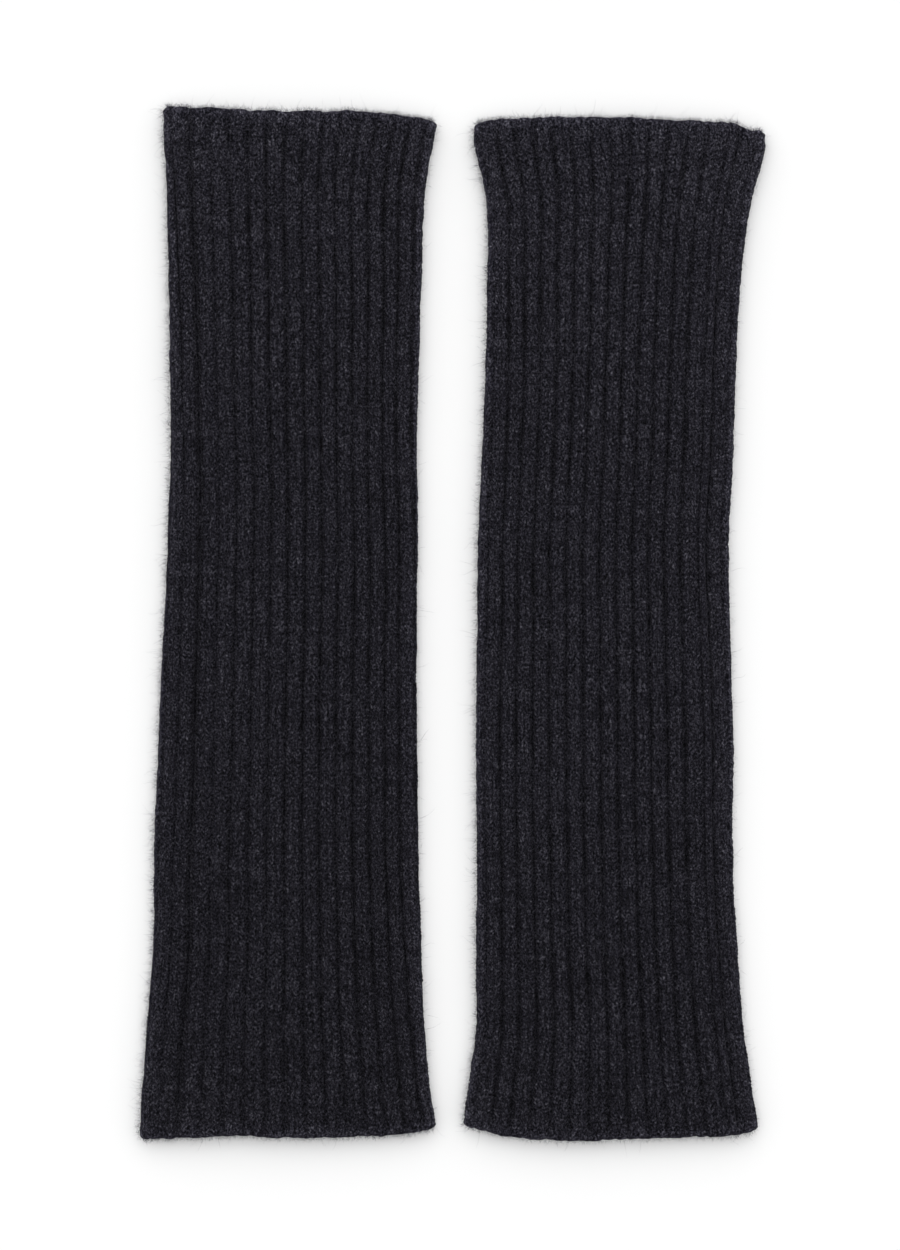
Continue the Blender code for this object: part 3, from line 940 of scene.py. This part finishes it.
def stitch_legs(leg, name, seed, ribs_from, ribs_to):
    """Both legs of every stitch between two ribs, as one mesh."""
    draws = np.random.default_rng(seed)
    rows = wale_rows(leg)
    rows = rows[(rows[:, 0] >= ribs_from) & (rows[:, 0] < ribs_to)]
    course = np.arange(FIRST_COURSE, COURSES - FIRST_COURSE - 0.5)
    wale, course, side = np.meshgrid(np.arange(len(rows)), course, [-1.0, 1.0], indexing="ij")
    middle = rows[wale.ravel(), 0]
    course = course.ravel()
    side = side.ravel()
    half = rows[wale.ravel(), np.where(side < 0, 1, 2)]
    count = len(course)
    jitter = draws.normal(0, 1, (count, 5))
    start_rib = middle + side * half * LEG_FOOT + FOOT_SPREAD * jitter[:, 0]
    end_rib = middle + side * half * LEG_HEAD + HEAD_SPREAD * jitter[:, 1]
    start_course = course - LEG_START + START_SPREAD * jitter[:, 2]
    end_course = start_course + LEG_RISE + RISE_SPREAD * jitter[:, 1]
    half_width = LEG_HALF_WIDTH * (1 + WIDTH_SPREAD * jitter[:, 3])
    height = STITCH_HEIGHT * (1 + HEIGHT_SPREAD * jitter[:, 4])
    start_course = np.clip(start_course, FIRST_START, COURSES - FIRST_START)
    end_course = np.clip(end_course, FIRST_HEAD, COURSES - FIRST_START)
    shown = Place(leg, course / COURSES, rib=middle + side * half * 0.5).up > HIDDEN_BELOW
    shade = melange(draws, course, middle, count)
    picked = [a[shown] for a in (start_rib, start_course, end_rib, end_course, half_width, height)]
    tips, rings, marks = lay_strands(leg, *picked)
    marks["melange"] = shade[shown]
    return strand_mesh(name, tips, rings, marks, (YARN_GIRTH, LEG_RISE * COURSE), draws)


# %% All stitches of both legs
# Each half's ending of the name, its seed and the ribs that it lies between
HALVES = (
    ("_stitches_left_half", 310, FIRST_RIB, MIDDLE_RIB),
    ("_stitches_right_half", 320, MIDDLE_RIB, LAST_OVER),
)
stitches = {side: [] for side in LEGS}
for number, (side, leg) in enumerate(LEGS.items()):
    for ending, seed, low, high in HALVES:
        stitches[side].append(stitch_legs(leg, leg["name"] + ending, seed + number, low, high))

# %% [markdown]
# ## The seam and the bound-off ends
#
# The panel is joined along one groove with a yarn that crosses from side to side, a bar every two
# courses, and lies at the bottom of the groove. At both ends the last loops are drawn through each
# other into a chain, so the end is a soft roll of lying links. Both are short strands again, laid
# the other way.

# %% Bars across the seam
SEAM_BAR_HALF = 0.085     # half the length of a bar, as a share of a rib
SEAM_BAR_WIDTH = 0.30     # half the width of a bar, in mm
SEAM_SINK = 0.62          # how deep the bars lie
SEAM_START = 3.0          # courses at either end that have no bar
BAR_EVERY = 2             # courses from bar to bar
BAR_SLANT = (0.35, 0.1)   # mean and spread of half the courses that a bar climbs
BAR_SHADE = (-0.6, 0.5)   # mean and spread of its shade


def seam_bars(leg, seed):
    """The sewing yarn: bars across the seam's groove, every second course, a little aslant."""
    draws = np.random.default_rng(seed)
    course = np.arange(SEAM_START, COURSES - SEAM_START, BAR_EVERY)
    slant = BAR_SLANT[0] + BAR_SLANT[1] * draws.standard_normal(len(course))
    start = np.full(len(course), leg["seam"] - SEAM_BAR_HALF)
    end = np.full(len(course), leg["seam"] + SEAM_BAR_HALF)
    half_width = np.full(len(course), SEAM_BAR_WIDTH)
    height = np.full(len(course), STITCH_HEIGHT - SEAM_SINK)
    tips, rings, marks = lay_strands(
        leg, start, course - slant, end, course + slant, half_width, height)
    tips[..., 2] -= SEAM_SINK * MM
    rings[:, :, 0::2, 2] -= SEAM_SINK * MM
    marks["melange"] = draws.normal(*BAR_SHADE, len(course))
    yarn_size = (YARN_GIRTH, RIB_PITCH / 4)
    return strand_mesh(leg["name"] + "_seam_yarn", tips, rings, marks, yarn_size, draws)


# %% Links along both ends
LINK_PITCH = 0.25         # of the chain's links, as a share of a rib
LINK_LENGTH = 0.36
LINK_HALF_WIDTH = 0.36    # in mm, and how much that differs, as a share
LINK_SPREAD = 0.1
LINK_LIFT = 0.04          # how much higher than a stitch it stands, in mm
LINK_SLANT = 0.16         # how far its tips lie off its middle, in courses, and that one's spread
SLANT_SPREAD = 0.05
LINK_SHADE = (0, 0.8)     # mean and spread of its shade
CHAIN_PLACES = (0.35, 0.95)   # the chain's two strands, in courses from the end


def end_chain(leg, seed):
    """The bound-off chain: two rows of slanting links at each end, along the rim that shows."""
    draws = np.random.default_rng(seed)
    rib = np.arange(FIRST_RIB, LAST_OVER, LINK_PITCH)
    grid = np.meshgrid(rib, CHAIN_PLACES, [True, False], indexing="ij")
    rib, place, lower = (a.ravel() for a in grid)
    shown = Place(leg, np.where(lower, 0.0, 1.0), rib=rib).up > HIDDEN_BELOW
    rib, place, lower = rib[shown], place[shown], lower[shown]
    count = len(rib)
    slant = np.where(place < np.mean(CHAIN_PLACES), LINK_SLANT, -LINK_SLANT)
    jitter = draws.normal(0, 1, (count, 3))
    start = place - slant + SLANT_SPREAD * jitter[:, 0]
    end = place + slant + SLANT_SPREAD * jitter[:, 1]
    start_course = np.where(lower, start, COURSES - start)
    end_course = np.where(lower, end, COURSES - end)
    half_width = LINK_HALF_WIDTH * (1 + LINK_SPREAD * jitter[:, 2])
    height = np.full(count, STITCH_HEIGHT + LINK_LIFT)
    half = LINK_LENGTH / 2
    tips, rings, marks = lay_strands(
        leg, rib - half, start_course, rib + half, end_course, half_width, height)
    marks["melange"] = draws.normal(*LINK_SHADE, count)
    yarn_size = (YARN_GIRTH, RIB_PITCH / 3)
    return strand_mesh(leg["name"] + "_end_chain", tips, rings, marks, yarn_size, draws)


seams = {}
chains = {}
for number, (side, leg) in enumerate(LEGS.items()):
    seams[side] = seam_bars(leg, 400 + number)
for number, (side, leg) in enumerate(LEGS.items()):
    chains[side] = end_chain(leg, 410 + number)

# %% [markdown]
# ## The fuzz
#
# Worn wool grows a fuzz of loose fibre ends. At the outline it is a thin halo a few millimetres
# deep, and on the surface it blurs the stitches. Hair curves could do this, but the finished piece
# has to be a mesh, so each fibre is a strand too: thin, bent and tapered. Fibres start on the
# cloth, and their way is mostly outwards.

# %% Fibres as bent strands
SHORTEST = 0.35           # of the loose fibres whose lengths are drawn below, in mm
LONGEST = 8.0
LOWEST = 0.08             # no fibre comes closer to the table than this
HIGHEST = 12.0            # and none stands higher over it
WIGGLE = 0.12             # of a fibre to the other side, against its bend
ROOT_RADIUS = 1.15        # of a fibre at its root, against the mean, and its loss to the tip
TAPER = 0.75


def bent_fibres(root, way, length, thickness, bend, draws, ring_count):
    """Tips and rings of fibres from their roots.

    A fibre is a straight run, plus a sideways bend that grows with the square of the way along it,
    plus one sine wave square to both.
    """
    count = len(root)
    t = np.linspace(0, 1, ring_count + 2)
    way = way / np.linalg.norm(way, axis=1, keepdims=True)
    aside = np.cross(way, draws.standard_normal((count, 3)))
    aside /= np.linalg.norm(aside, axis=1, keepdims=True)
    wiggle_way = np.cross(way, aside)
    straight = way[:, None] * t[:, None]
    bent = aside[:, None] * (bend[:, None] * t ** 2)[..., None]
    wiggle = wiggle_way[:, None] * (WIGGLE * bend[:, None] * np.sin(2 * np.pi * t))[..., None]
    line = root[:, None] + length[:, None, None] * MM * (straight + bent + wiggle)
    line[..., 2] = np.clip(line[..., 2], LOWEST * MM, HIGHEST * MM)
    turn = 2 * np.pi * np.arange(3)[:, None] / 3
    radius = 0.5 * thickness[:, None] * MM * (ROOT_RADIUS - TAPER * t[1:-1])
    corner = aside[:, None, None] * np.cos(turn) + wiggle_way[:, None, None] * np.sin(turn)
    rings = line[:, 1:-1, None] + radius[..., None, None] * corner
    return line[:, [0, -1]], rings


def fibre_lengths(draws, count, mean):
    """Mostly short, with a few long ones: an exponential draw, held between two limits."""
    return np.clip(draws.exponential(mean, count), SHORTEST, LONGEST)


# %% The halo along folds and ends
# How many fibres a full side has at the folds and at the ends, how long they are in mm (a range, or
# the mean of an exponential draw), how thick, and how many rings bend them
FOLD_FLUFF = {"folds": 4100, "ends": 0, "lengths": (0.5, 3.9), "thickness": 0.066, "rings": 2}
END_FLUFF = {"folds": 0, "ends": 5000, "lengths": (0.4, 2.8), "thickness": 0.066, "rings": 1}
LONG_ENDS = {"folds": 1300, "ends": 200, "mean": 2.4, "thickness": 0.055, "rings": 3}
FOLD_BAND = (-0.65, 0.75)     # from below to above a fold's middle, as shares of a quarter turn
FOLD_ROOTS_OUT = (0.5, 0.9)   # how far out of the skin fibres start at a fold, in mm
END_ROOTS_OUT = (-1.2, 0.1)   # and at an end, where the wall's whole thickness shows
END_ROOT_DEPTH = 0.4      # how far inside an end its fibres start
CORNER_DEPTH = 5.0        # how many times further at a fold, which rounds the halo at the corners
END_WAY = (0.2, 0.5)      # how far a fibre at an end leans across and up, against its way out
HALO_SPREAD = (0.65, 0.65, 0.40)  # how much the ways differ along x, y and z
HALO_THICKNESSES = (0.7, 1.3)     # limits of a fibre's thickness, against its kind's
HALO_BENDS = (0.1, 0.9)   # limits of its bend, as a share of its length
HALO_MIX = (1.4, 0.9)     # mean and spread of its shade


def fold_roots(leg, right, count, draws):
    """Roots and normals on one fold, from a little under its middle to its upper shoulder."""
    share = draws.uniform(0, 1, count)
    turn = draws.uniform(*FOLD_BAND, count) * QUARTER_TURN
    first = Place(leg, share, distance=np.zeros(count))
    far_fold = 2 * QUARTER_TURN + first.right - first.left - 2 * FOLD_RADIUS
    place = Place(leg, share, distance=far_fold - turn if right else turn)
    root = push_out(place, draws.uniform(*FOLD_ROOTS_OUT, count) * wall_share(place.edge))
    return root, np.stack([place.across, np.zeros(count), place.up], axis=1)


def end_roots(leg, upper, count, draws):
    """Roots on the rim of one end, anywhere in the wall, with the way out of that end."""
    share = draws.uniform(0, END_ROOT_DEPTH / LEG_LENGTH, count)
    rib = draws.uniform(FIRST_RIB, FIRST_RIB + RIBS_ROUND, count)
    share = share * (1 + CORNER_DEPTH * (1 - np.abs(Place(leg, share, rib=rib).up)))
    share = 1 - share if upper else share
    place = Place(leg, share, rib=rib)
    root = push_out(place, draws.uniform(*END_ROOTS_OUT, count))
    out = np.full(count, 1.0 if upper else -1.0)
    way = np.stack([END_WAY[0] * place.across, out, END_WAY[1] * place.up], axis=1)
    return root, way


# %% A leg's whole halo
def halo(leg, name, fuzz, seed):
    """One kind of fuzz at a leg's outline: roots along folds and ends, and ways mostly outwards."""
    draws = np.random.default_rng(seed)
    shares = leg["fuzz"]
    parts = [
        fold_roots(leg, False, int(fuzz["folds"] * shares["left"]), draws),
        fold_roots(leg, True, int(fuzz["folds"] * shares["right"]), draws),
        end_roots(leg, False, int(fuzz["ends"] * shares["lower"]), draws),
        end_roots(leg, True, int(fuzz["ends"] * shares["upper"]), draws),
    ]
    root = np.concatenate([part[0] for part in parts])
    way = np.concatenate([part[1] for part in parts])
    count = len(root)
    way = way + draws.standard_normal((count, 3)) * HALO_SPREAD
    if "lengths" in fuzz:
        length = draws.uniform(*fuzz["lengths"], count)
    else:
        length = fibre_lengths(draws, count, fuzz["mean"])
    thickness = fuzz["thickness"] * draws.uniform(*HALO_THICKNESSES, count)
    bend = draws.uniform(*HALO_BENDS, count)
    tips, rings = bent_fibres(root, way, length, thickness, bend, draws, fuzz["rings"])
    marks = {"melange": draws.normal(*HALO_MIX, count)}
    return strand_mesh(leg["name"] + name, tips, rings, marks)


# %% The nap on the surface
# How many fibres a leg has, how long they are in mm (a range, or the mean of an exponential draw),
# how thick, how many rings bend them, how far they rise against the way they lie, how much their
# ways differ along x, y and z, the limits of their bends, and the mean and spread of their shade
NAP = {
    "count": 6600, "mean": 1.0, "thickness": 0.06, "rings": 1,
    "height": 0.30, "ways": (0.8, 1.0, 0.12), "bends": (0.1, 0.8), "mix": (0.6, 0.9)}
CURLS = {
    "count": 2300, "mean": 1.7, "thickness": 0.06, "rings": 2,
    "height": 0.38, "ways": (0.8, 1.0, 0.12), "bends": (0.1, 0.8), "mix": (0.6, 0.9)}
STRAYS = {
    "count": 260, "lengths": (3.5, 9.0), "thickness": 0.06, "rings": 6,
    "height": 0.22, "ways": (1.0, 1.0, 0.04), "bends": (0.2, 0.9), "mix": (1.6, 0.8)}
LEAST = 0.5               # added to every length that is drawn round a mean, in mm
SURFACE_THICKNESSES = (0.8, 1.3)  # limits of a fibre's thickness, against its kind's
RIBS_WITH_NAP = (FIRST_RIB + 0.4, LAST_OVER - 0.4)    # the roots are between these ribs
NAP_ALONG = (0.002, 0.998)        # and between these shares of the leg
ROOT_DEPTH = 0.12         # how deep they lie in the stitches, in mm
LIGHT_SHARE = 0.09        # of the fibres that come from the lightest wool in the mix
LIGHT_THICKER = 1.7       # how much thicker those look, and how much lighter they are
LIGHT_LIGHTER = 1.9


def surface_roots(leg, count, draws):
    """Roots anywhere on the upper side, with the cloth's normals."""
    rib = draws.uniform(*RIBS_WITH_NAP, count)
    share = draws.uniform(*NAP_ALONG, count)
    place = Place(leg, share, rib=rib)
    root = push_out(place, surface_out(leg, place, rib) - ROOT_DEPTH)
    return root, np.stack([place.across, np.zeros(count), np.clip(place.up, 0, 1)], axis=1)


def nap(leg, name, fuzz, seed):
    """Loose fibres that lie on the stitches at all angles.

    Where the lengths are drawn round a mean, a few of the fibres are light. Those with a range of
    lengths are long hairs that wander over the cloth and past its outline.
    """
    draws = np.random.default_rng(seed)
    count = fuzz["count"]
    root, normal = surface_roots(leg, count, draws)
    way = fuzz["height"] * normal + draws.standard_normal(root.shape) * fuzz["ways"]
    light = np.zeros(count, bool)
    if "lengths" in fuzz:
        length = draws.uniform(*fuzz["lengths"], count)
    else:
        length = LEAST + fibre_lengths(draws, count, fuzz["mean"])
        light = draws.uniform(0, 1, count) < LIGHT_SHARE
    thickness = fuzz["thickness"] * draws.uniform(*SURFACE_THICKNESSES, count)
    thickness = thickness * np.where(light, LIGHT_THICKER, 1.0)
    bend = draws.uniform(*fuzz["bends"], count)
    tips, rings = bent_fibres(root, way, length, thickness, bend, draws, fuzz["rings"])
    marks = {"melange": draws.normal(*fuzz["mix"], count) + LIGHT_LIGHTER * light}
    return strand_mesh(leg["name"] + name, tips, rings, marks)


# %% All the fuzz of both legs
# Each kind of fuzz: the function that makes it, the ending of its name, its sizes and its seed
FUZZ_KINDS = (
    (halo, "_fold_fluff", FOLD_FLUFF, 500),
    (halo, "_end_fluff", END_FLUFF, 505),
    (halo, "_long_ends", LONG_ENDS, 510),
    (nap, "_nap", NAP, 520),
    (nap, "_curls", CURLS, 530),
    (nap, "_strays", STRAYS, 540),
)
HALO_KINDS = 3            # the first three stand at the outline, and the others on the surface
fuzz = {side: [] for side in LEGS}
for number, (side, leg) in enumerate(LEGS.items()):
    for make, ending, sizes, seed in FUZZ_KINDS:
        fuzz[side].append(make(leg, ending, sizes, seed + number))

# %% [markdown]
# ## The yarn's colour
#
# From a step away the cloth is near-black with a cold tinge; close to, it is a salt-and-pepper of
# dark and light fibres. So the colour comes from one ramp, from almost black to mid grey, and what
# reads the ramp is a sum: the strand's own mix, a fine speckle and a slow mottle. The grooves take
# less light and more shade from fibres that cross them, so a mark on the mesh paints that shade
# into their colour. A second mark makes the yarn paler, partly for wear and partly as painted light
# along the outline and towards the upper end. Sheen stands for the soft glow of the nap.

# %% Small helpers for shader nodes
def new_material(name):
    """An empty node material and its Principled shader."""
    material = bpy.data.materials.new(name)
    material.use_nodes = True
    return material, material.node_tree, material.node_tree.nodes["Principled BSDF"]


def calculate(tree, operation, first, second):
    """A Math node on two inputs, each a socket or a number, and its result."""
    node = tree.nodes.new("ShaderNodeMath")
    node.operation = operation
    for socket, value in zip(node.inputs, (first, second)):
        if isinstance(value, bpy.types.NodeSocket):
            tree.links.new(value, socket)
        else:
            socket.default_value = value
    return node.outputs[0]


def noise(tree, where, size, detail, roughness=0.5):
    """A noise texture as a number round 0, its patches about size mm across.

    On a map that is in mm itself, the size is divided by MM.
    """
    node = tree.nodes.new("ShaderNodeTexNoise")
    node.inputs["Scale"].default_value = 1 / (size * MM)
    node.inputs["Detail"].default_value = detail
    node.inputs["Roughness"].default_value = roughness
    tree.links.new(where, node.inputs["Vector"])
    return calculate(tree, "SUBTRACT", node.outputs["Fac"], 0.5)


def mark(tree, name):
    """A number that the mesh carries at its points."""
    node = tree.nodes.new("ShaderNodeAttribute")
    node.attribute_name = name
    return node.outputs["Fac"]


# %% The ramp of the melange
MELANGE_RAMP = (
    (0.00, (0.0006, 0.0006, 0.0010)),
    (0.20, (0.0037, 0.0035, 0.0053)),
    (0.40, (0.0106, 0.0101, 0.0143)),
    (0.60, (0.0262, 0.0252, 0.0337)),
    (0.80, (0.0595, 0.0574, 0.0718)),
    (1.00, (0.1250, 0.1225, 0.1450)),
)
RAMP_MIDDLE = 0.4         # where the plain yarn reads the ramp
# How strongly each of these moves it along the ramp
STRAND_MIX = 0.066        # a strand's own mix
SPECKLE = 2.12            # the fine speckle of fibre bunches
MOTTLE = 0.34             # the slow mottle
FIBRES = 1.2              # the fibres along the yarn
FUZZ_MIX = 0.15           # a loose fibre's own mix
SPECKLE_SIZE = 0.80       # of the speckle in mm, and how much longer it is along the ribs
SPECKLE_STRETCH = (1.0, 1.35, 1.0)
MOTTLE_SIZE = 1.8         # and of the mottle
MOTTLE_STRETCH = (1.0, 3.5, 1.0)
FIBRE_STRETCH = (0.30, 1.5, 1.0)  # of a fibre, round and along the strand
FINE_SIZE = 0.25          # of the ground's fine grain, in mm
GRAIN_SHARE = 0.5         # and its height against the stitches
NO_TINT = (1.0, 1.0, 1.0)
HALO_TINT = (1.05, 1.0, 1.35)     # for the outline's fibres, which the white table shines through
PAINTED_SHADE_WEIGHT = 0.66       # how much of the colour the painted groove shade takes away
DARKEST = 0.1             # and how much of it is always left
WEAR_AND_LIGHT_WEIGHT = 0.95                # how much paler wear and painted light make the yarn
SHEEN = 0.05

# %% The colour that is read from the ramp
def stretched(tree, where, stretch):
    """Coordinates divided by a stretch along each axis, so that a noise there comes out longer."""
    node = tree.nodes.new("ShaderNodeMapping")
    node.vector_type = "TEXTURE"
    node.inputs["Scale"].default_value = stretch
    tree.links.new(where, node.inputs["Vector"])
    return node.outputs["Vector"]


def map_place(tree, name):
    """A map's coordinates."""
    node = tree.nodes.new("ShaderNodeUVMap")
    node.uv_map = name
    return node.outputs["UV"]


def weighted_sum(tree, start, parts):
    """A start value plus each part, a socket, times its weight."""
    total = start
    for socket, weight in parts:
        total = calculate(tree, "ADD", total, calculate(tree, "MULTIPLY", socket, weight))
    return total


def yarn_colour(tree, parts, marked, tint=NO_TINT):
    """The melange: the ramp, times a tint, read at its middle plus the weighted parts.

    Where marked, the colour is times (1 - weight * painted shade), and times (1 + weight * paling
    from wear and painted light).
    """
    ramp = tree.nodes.new("ShaderNodeValToRGB")
    stops = ramp.color_ramp.elements
    for number, (at, colour) in enumerate(MELANGE_RAMP):
        stop = stops[number] if number < 2 else stops.new(at)
        stop.position = at
        stop.color = (*np.multiply(colour, tint), 1)
    tree.links.new(weighted_sum(tree, RAMP_MIDDLE, parts), ramp.inputs["Fac"])
    if not marked:
        return ramp.outputs["Color"]
    # painted shade, and paling from wear and painted light, both multiply the colour
    kept = weighted_sum(tree, 1.0, [(mark(tree, "painted_shade"), -PAINTED_SHADE_WEIGHT)])
    paler = weighted_sum(tree, 1.0, [(mark(tree, "wear_and_painted_light"), WEAR_AND_LIGHT_WEIGHT)])
    times = tree.nodes.new("ShaderNodeMix")
    times.data_type = "RGBA"
    times.blend_type = "MULTIPLY"
    times.inputs["Factor"].default_value = 1.0
    tree.links.new(ramp.outputs["Color"], times.inputs[6])
    kept = calculate(tree, "MAXIMUM", kept, DARKEST)
    tree.links.new(calculate(tree, "MULTIPLY", kept, paler), times.inputs[7])
    return times.outputs[2]


# %% [markdown]
# ## The finish of the wool
#
# Wool has no gloss of its own: light goes into its fibres and comes out soft, with a faint glow at
# a low angle. A hair shader would give each fibre its shine, but these are far too fine for that to
# show, so one matt shader with a little sheen does it. What is too fine for the mesh, such as the
# fibres in the yarn, is a bump.

# %% Gloss and bump of wool
def set_wool(shader, roughness, sheen):
    """Matt wool: hardly any highlight, and a little sheen from the nap."""
    shader.inputs["Roughness"].default_value = roughness
    shader.inputs["Specular IOR Level"].default_value = 0.06
    shader.inputs["Sheen Weight"].default_value = sheen
    shader.inputs["Sheen Roughness"].default_value = 0.45
    shader.inputs["Sheen Tint"].default_value = (0.82, 0.80, 0.95, 1)


def bump(tree, shader, height, strength, distance):
    """Feeds a height to the shader's normal; distance is in mm."""
    node = tree.nodes.new("ShaderNodeBump")
    node.inputs["Strength"].default_value = strength
    node.inputs["Distance"].default_value = distance * MM
    tree.links.new(height, node.inputs["Height"])
    tree.links.new(node.outputs["Normal"], shader.inputs["Normal"])


# %% Finish of the stitches
def object_noises(tree, speckled=True):
    """The fine speckle of fibre bunches and the slow mottle, with their weights.

    Both are read on the object's own coordinates. A single fibre is too thin to be speckled.
    """
    where = tree.nodes.new("ShaderNodeTexCoord").outputs["Object"]
    parts = []
    if speckled:
        fine = stretched(tree, where, SPECKLE_STRETCH)
        parts.append((noise(tree, fine, SPECKLE_SIZE, detail=2.0, roughness=0.75), SPECKLE))
    slow = stretched(tree, where, MOTTLE_STRETCH)
    parts.append((noise(tree, slow, MOTTLE_SIZE, detail=1.0), MOTTLE))
    return parts


def stitch_finish(name):
    """Yarn on the raised strands: speckle, and fibres that run along each strand."""
    material, tree, shader = new_material(name)
    along_yarn = stretched(tree, map_place(tree, "yarn"), FIBRE_STRETCH)
    fibres = noise(tree, along_yarn, 1 / MM, detail=1.0)
    parts = object_noises(tree) + [(mark(tree, "melange"), STRAND_MIX), (fibres, FIBRES)]
    tree.links.new(yarn_colour(tree, parts, marked=True), shader.inputs["Base Color"])
    set_wool(shader, roughness=0.92, sheen=SHEEN)
    bump(tree, shader, fibres, strength=0.7, distance=0.25)
    return material


# %% Finish of the ground cloth
WALES_PER_RIB = 2.0       # on the knit map of the plain places
RIDGE_RISE = 1.8          # courses that a ridge climbs for each wale's width from its middle
RIDGE_POWER = 0.6         # below 1, it makes the ridges broad and the lines between them fine


def knit_relief(tree):
    """Height of knit stitches from the knit map.

    In each wale, ridges rise from its middle to its sides, a course apart. The height is the size
    of the sine of pi times the height climbed in courses, to a power.
    """
    split = tree.nodes.new("ShaderNodeSeparateXYZ")
    tree.links.new(map_place(tree, "knit"), split.inputs["Vector"])
    wale = calculate(tree, "MULTIPLY", split.outputs["X"], WALES_PER_RIB)
    in_wale = calculate(tree, "FRACT", wale, 0)
    from_middle = calculate(tree, "ABSOLUTE", calculate(tree, "SUBTRACT", in_wale, 0.5), 0)
    rise = calculate(tree, "MULTIPLY", from_middle, RIDGE_RISE)
    climbed = calculate(tree, "SUBTRACT", split.outputs["Y"], rise)
    wave = calculate(tree, "SINE", calculate(tree, "MULTIPLY", climbed, np.pi), 0)
    return calculate(tree, "POWER", calculate(tree, "ABSOLUTE", wave, 0), RIDGE_POWER)


def ground_finish(name):
    """The same yarn further in, darker by its painted shade, with the plain places' stitches as a
    bump.
    """
    material, tree, shader = new_material(name)
    where = tree.nodes.new("ShaderNodeTexCoord").outputs["Object"]
    colour = yarn_colour(tree, object_noises(tree), marked=True)
    tree.links.new(colour, shader.inputs["Base Color"])
    set_wool(shader, roughness=0.95, sheen=SHEEN)
    grain = noise(tree, where, FINE_SIZE, detail=3.0, roughness=0.65)
    fine = calculate(tree, "MULTIPLY", grain, GRAIN_SHARE)
    height = calculate(tree, "ADD", knit_relief(tree), fine)
    bump(tree, shader, height, strength=0.8, distance=0.35)
    return material


# %% Finish of the fuzz
def fuzz_finish(name, tint):
    """Single fibres, lighter than the yarn because light goes through and round them."""
    material, tree, shader = new_material(name)
    parts = object_noises(tree, speckled=False) + [(mark(tree, "melange"), FUZZ_MIX)]
    colour = yarn_colour(tree, parts, marked=False, tint=tint)
    tree.links.new(colour, shader.inputs["Base Color"])
    set_wool(shader, roughness=0.85, sheen=0.0)
    return material


# %% Finishes onto the pieces
for side, leg in LEGS.items():
    wool = stitch_finish(side + "_stitch_yarn")
    ground = ground_finish(side + "_ground_yarn")
    outline = fuzz_finish(side + "_outline_fibres", HALO_TINT)
    loose = fuzz_finish(side + "_loose_fibres", NO_TINT)
    cloths[side].data.materials.append(ground)
    for piece in (*stitches[side], seams[side], chains[side]):
        piece.data.materials.append(wool)
    for piece in fuzz[side][:HALO_KINDS]:
        piece.data.materials.append(outline)
    for piece in fuzz[side][HALO_KINDS:]:
        piece.data.materials.append(loose)

# %% [markdown]
# ## Hanging the pieces on their body
#
# The ground cloth of a leg replaces its solid, which is hidden. The stitches, the seam, the chains
# and the fuzz go with it, all on the same body.


for side, leg in LEGS.items():
    cloth = cloths[side]
    others = [*stitches[side], seams[side], chains[side], *fuzz[side]]
    for piece in (cloth, *others):
        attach(piece, "root")
    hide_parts(leg["name"])

# %% [markdown]
# ## Table, light and camera
#
# The pair lies on a plain white table in a white room, one wall of which has the windows. That
# makes a broad sky of soft light, brighter towards the upper ends and weaker towards the lower
# ones, so the shadow is soft all round and deepest below. The camera looks straight down through a
# long lens, so that nothing leans.

# %% The table
TABLE_HALF = 12.0         # half its width, in metres: it runs on past the picture
TABLE_DROP = 0.0002       # a hair under the cloth, so that the two surfaces don't meet
table_mesh = bpy.data.meshes.new("table")
corners = [(-1, -1), (1, -1), (1, 1), (-1, 1)]
corners = [(TABLE_HALF * x, TABLE_HALF * y, -TABLE_DROP) for x, y in corners]
table_mesh.from_pydata(corners, [], [(0, 1, 2, 3)])
table = bpy.data.objects.new("table", table_mesh)
bpy.context.scene.collection.objects.link(table)
table_white, _, table_shader = new_material("table_white")
table_shader.inputs["Base Color"].default_value = (0.90, 0.90, 0.90, 1)
table_shader.inputs["Roughness"].default_value = 0.9
table_shader.inputs["Specular IOR Level"].default_value = 0.1
table_mesh.materials.append(table_white)

# %% The sky
SKY = 1.14                # its mean strength
SKY_SLOPE = 0.75          # how much brighter it is towards +Y, and darker towards -Y
sky = bpy.data.worlds.new("sky")
sky.use_nodes = True
sky_way = sky.node_tree.nodes.new("ShaderNodeTexCoord").outputs["Generated"]
sky_split = sky.node_tree.nodes.new("ShaderNodeSeparateXYZ")
sky.node_tree.links.new(sky_way, sky_split.inputs["Vector"])
sky_strength = weighted_sum(sky.node_tree, SKY, [(sky_split.outputs["Y"], SKY * SKY_SLOPE)])
sky_shader = sky.node_tree.nodes["Background"]
sky_shader.inputs["Color"].default_value = (1, 1, 1, 1)
sky.node_tree.links.new(sky_strength, sky_shader.inputs["Strength"])
bpy.context.scene.world = sky

# %% Camera
LENS = 80.0
FILM = 36.0               # the long side of the film, which is the picture's height
PICTURE_HEIGHT = 1250 * 0.43 * MM     # what the picture takes in: 1,250 rows of 0.43 mm
VIEW_CENTRE = (-1.04 * MM, -0.68 * MM)    # the place on the table in the picture's middle
KNIT_LEVEL = 5 * MM       # the height of the upper layer, where that scale holds
camera_data = bpy.data.cameras.new("camera")
camera_data.lens = LENS
camera_data.sensor_width = FILM
camera_data.clip_end = 30
camera = bpy.data.objects.new("camera", camera_data)
camera.location = (*VIEW_CENTRE, KNIT_LEVEL + PICTURE_HEIGHT * LENS / FILM)
bpy.context.scene.collection.objects.link(camera)
bpy.context.scene.camera = camera
bpy.context.scene.view_settings.view_transform = "Standard"
print("the camera stands", round(camera.location.z, 3), "m over the table")
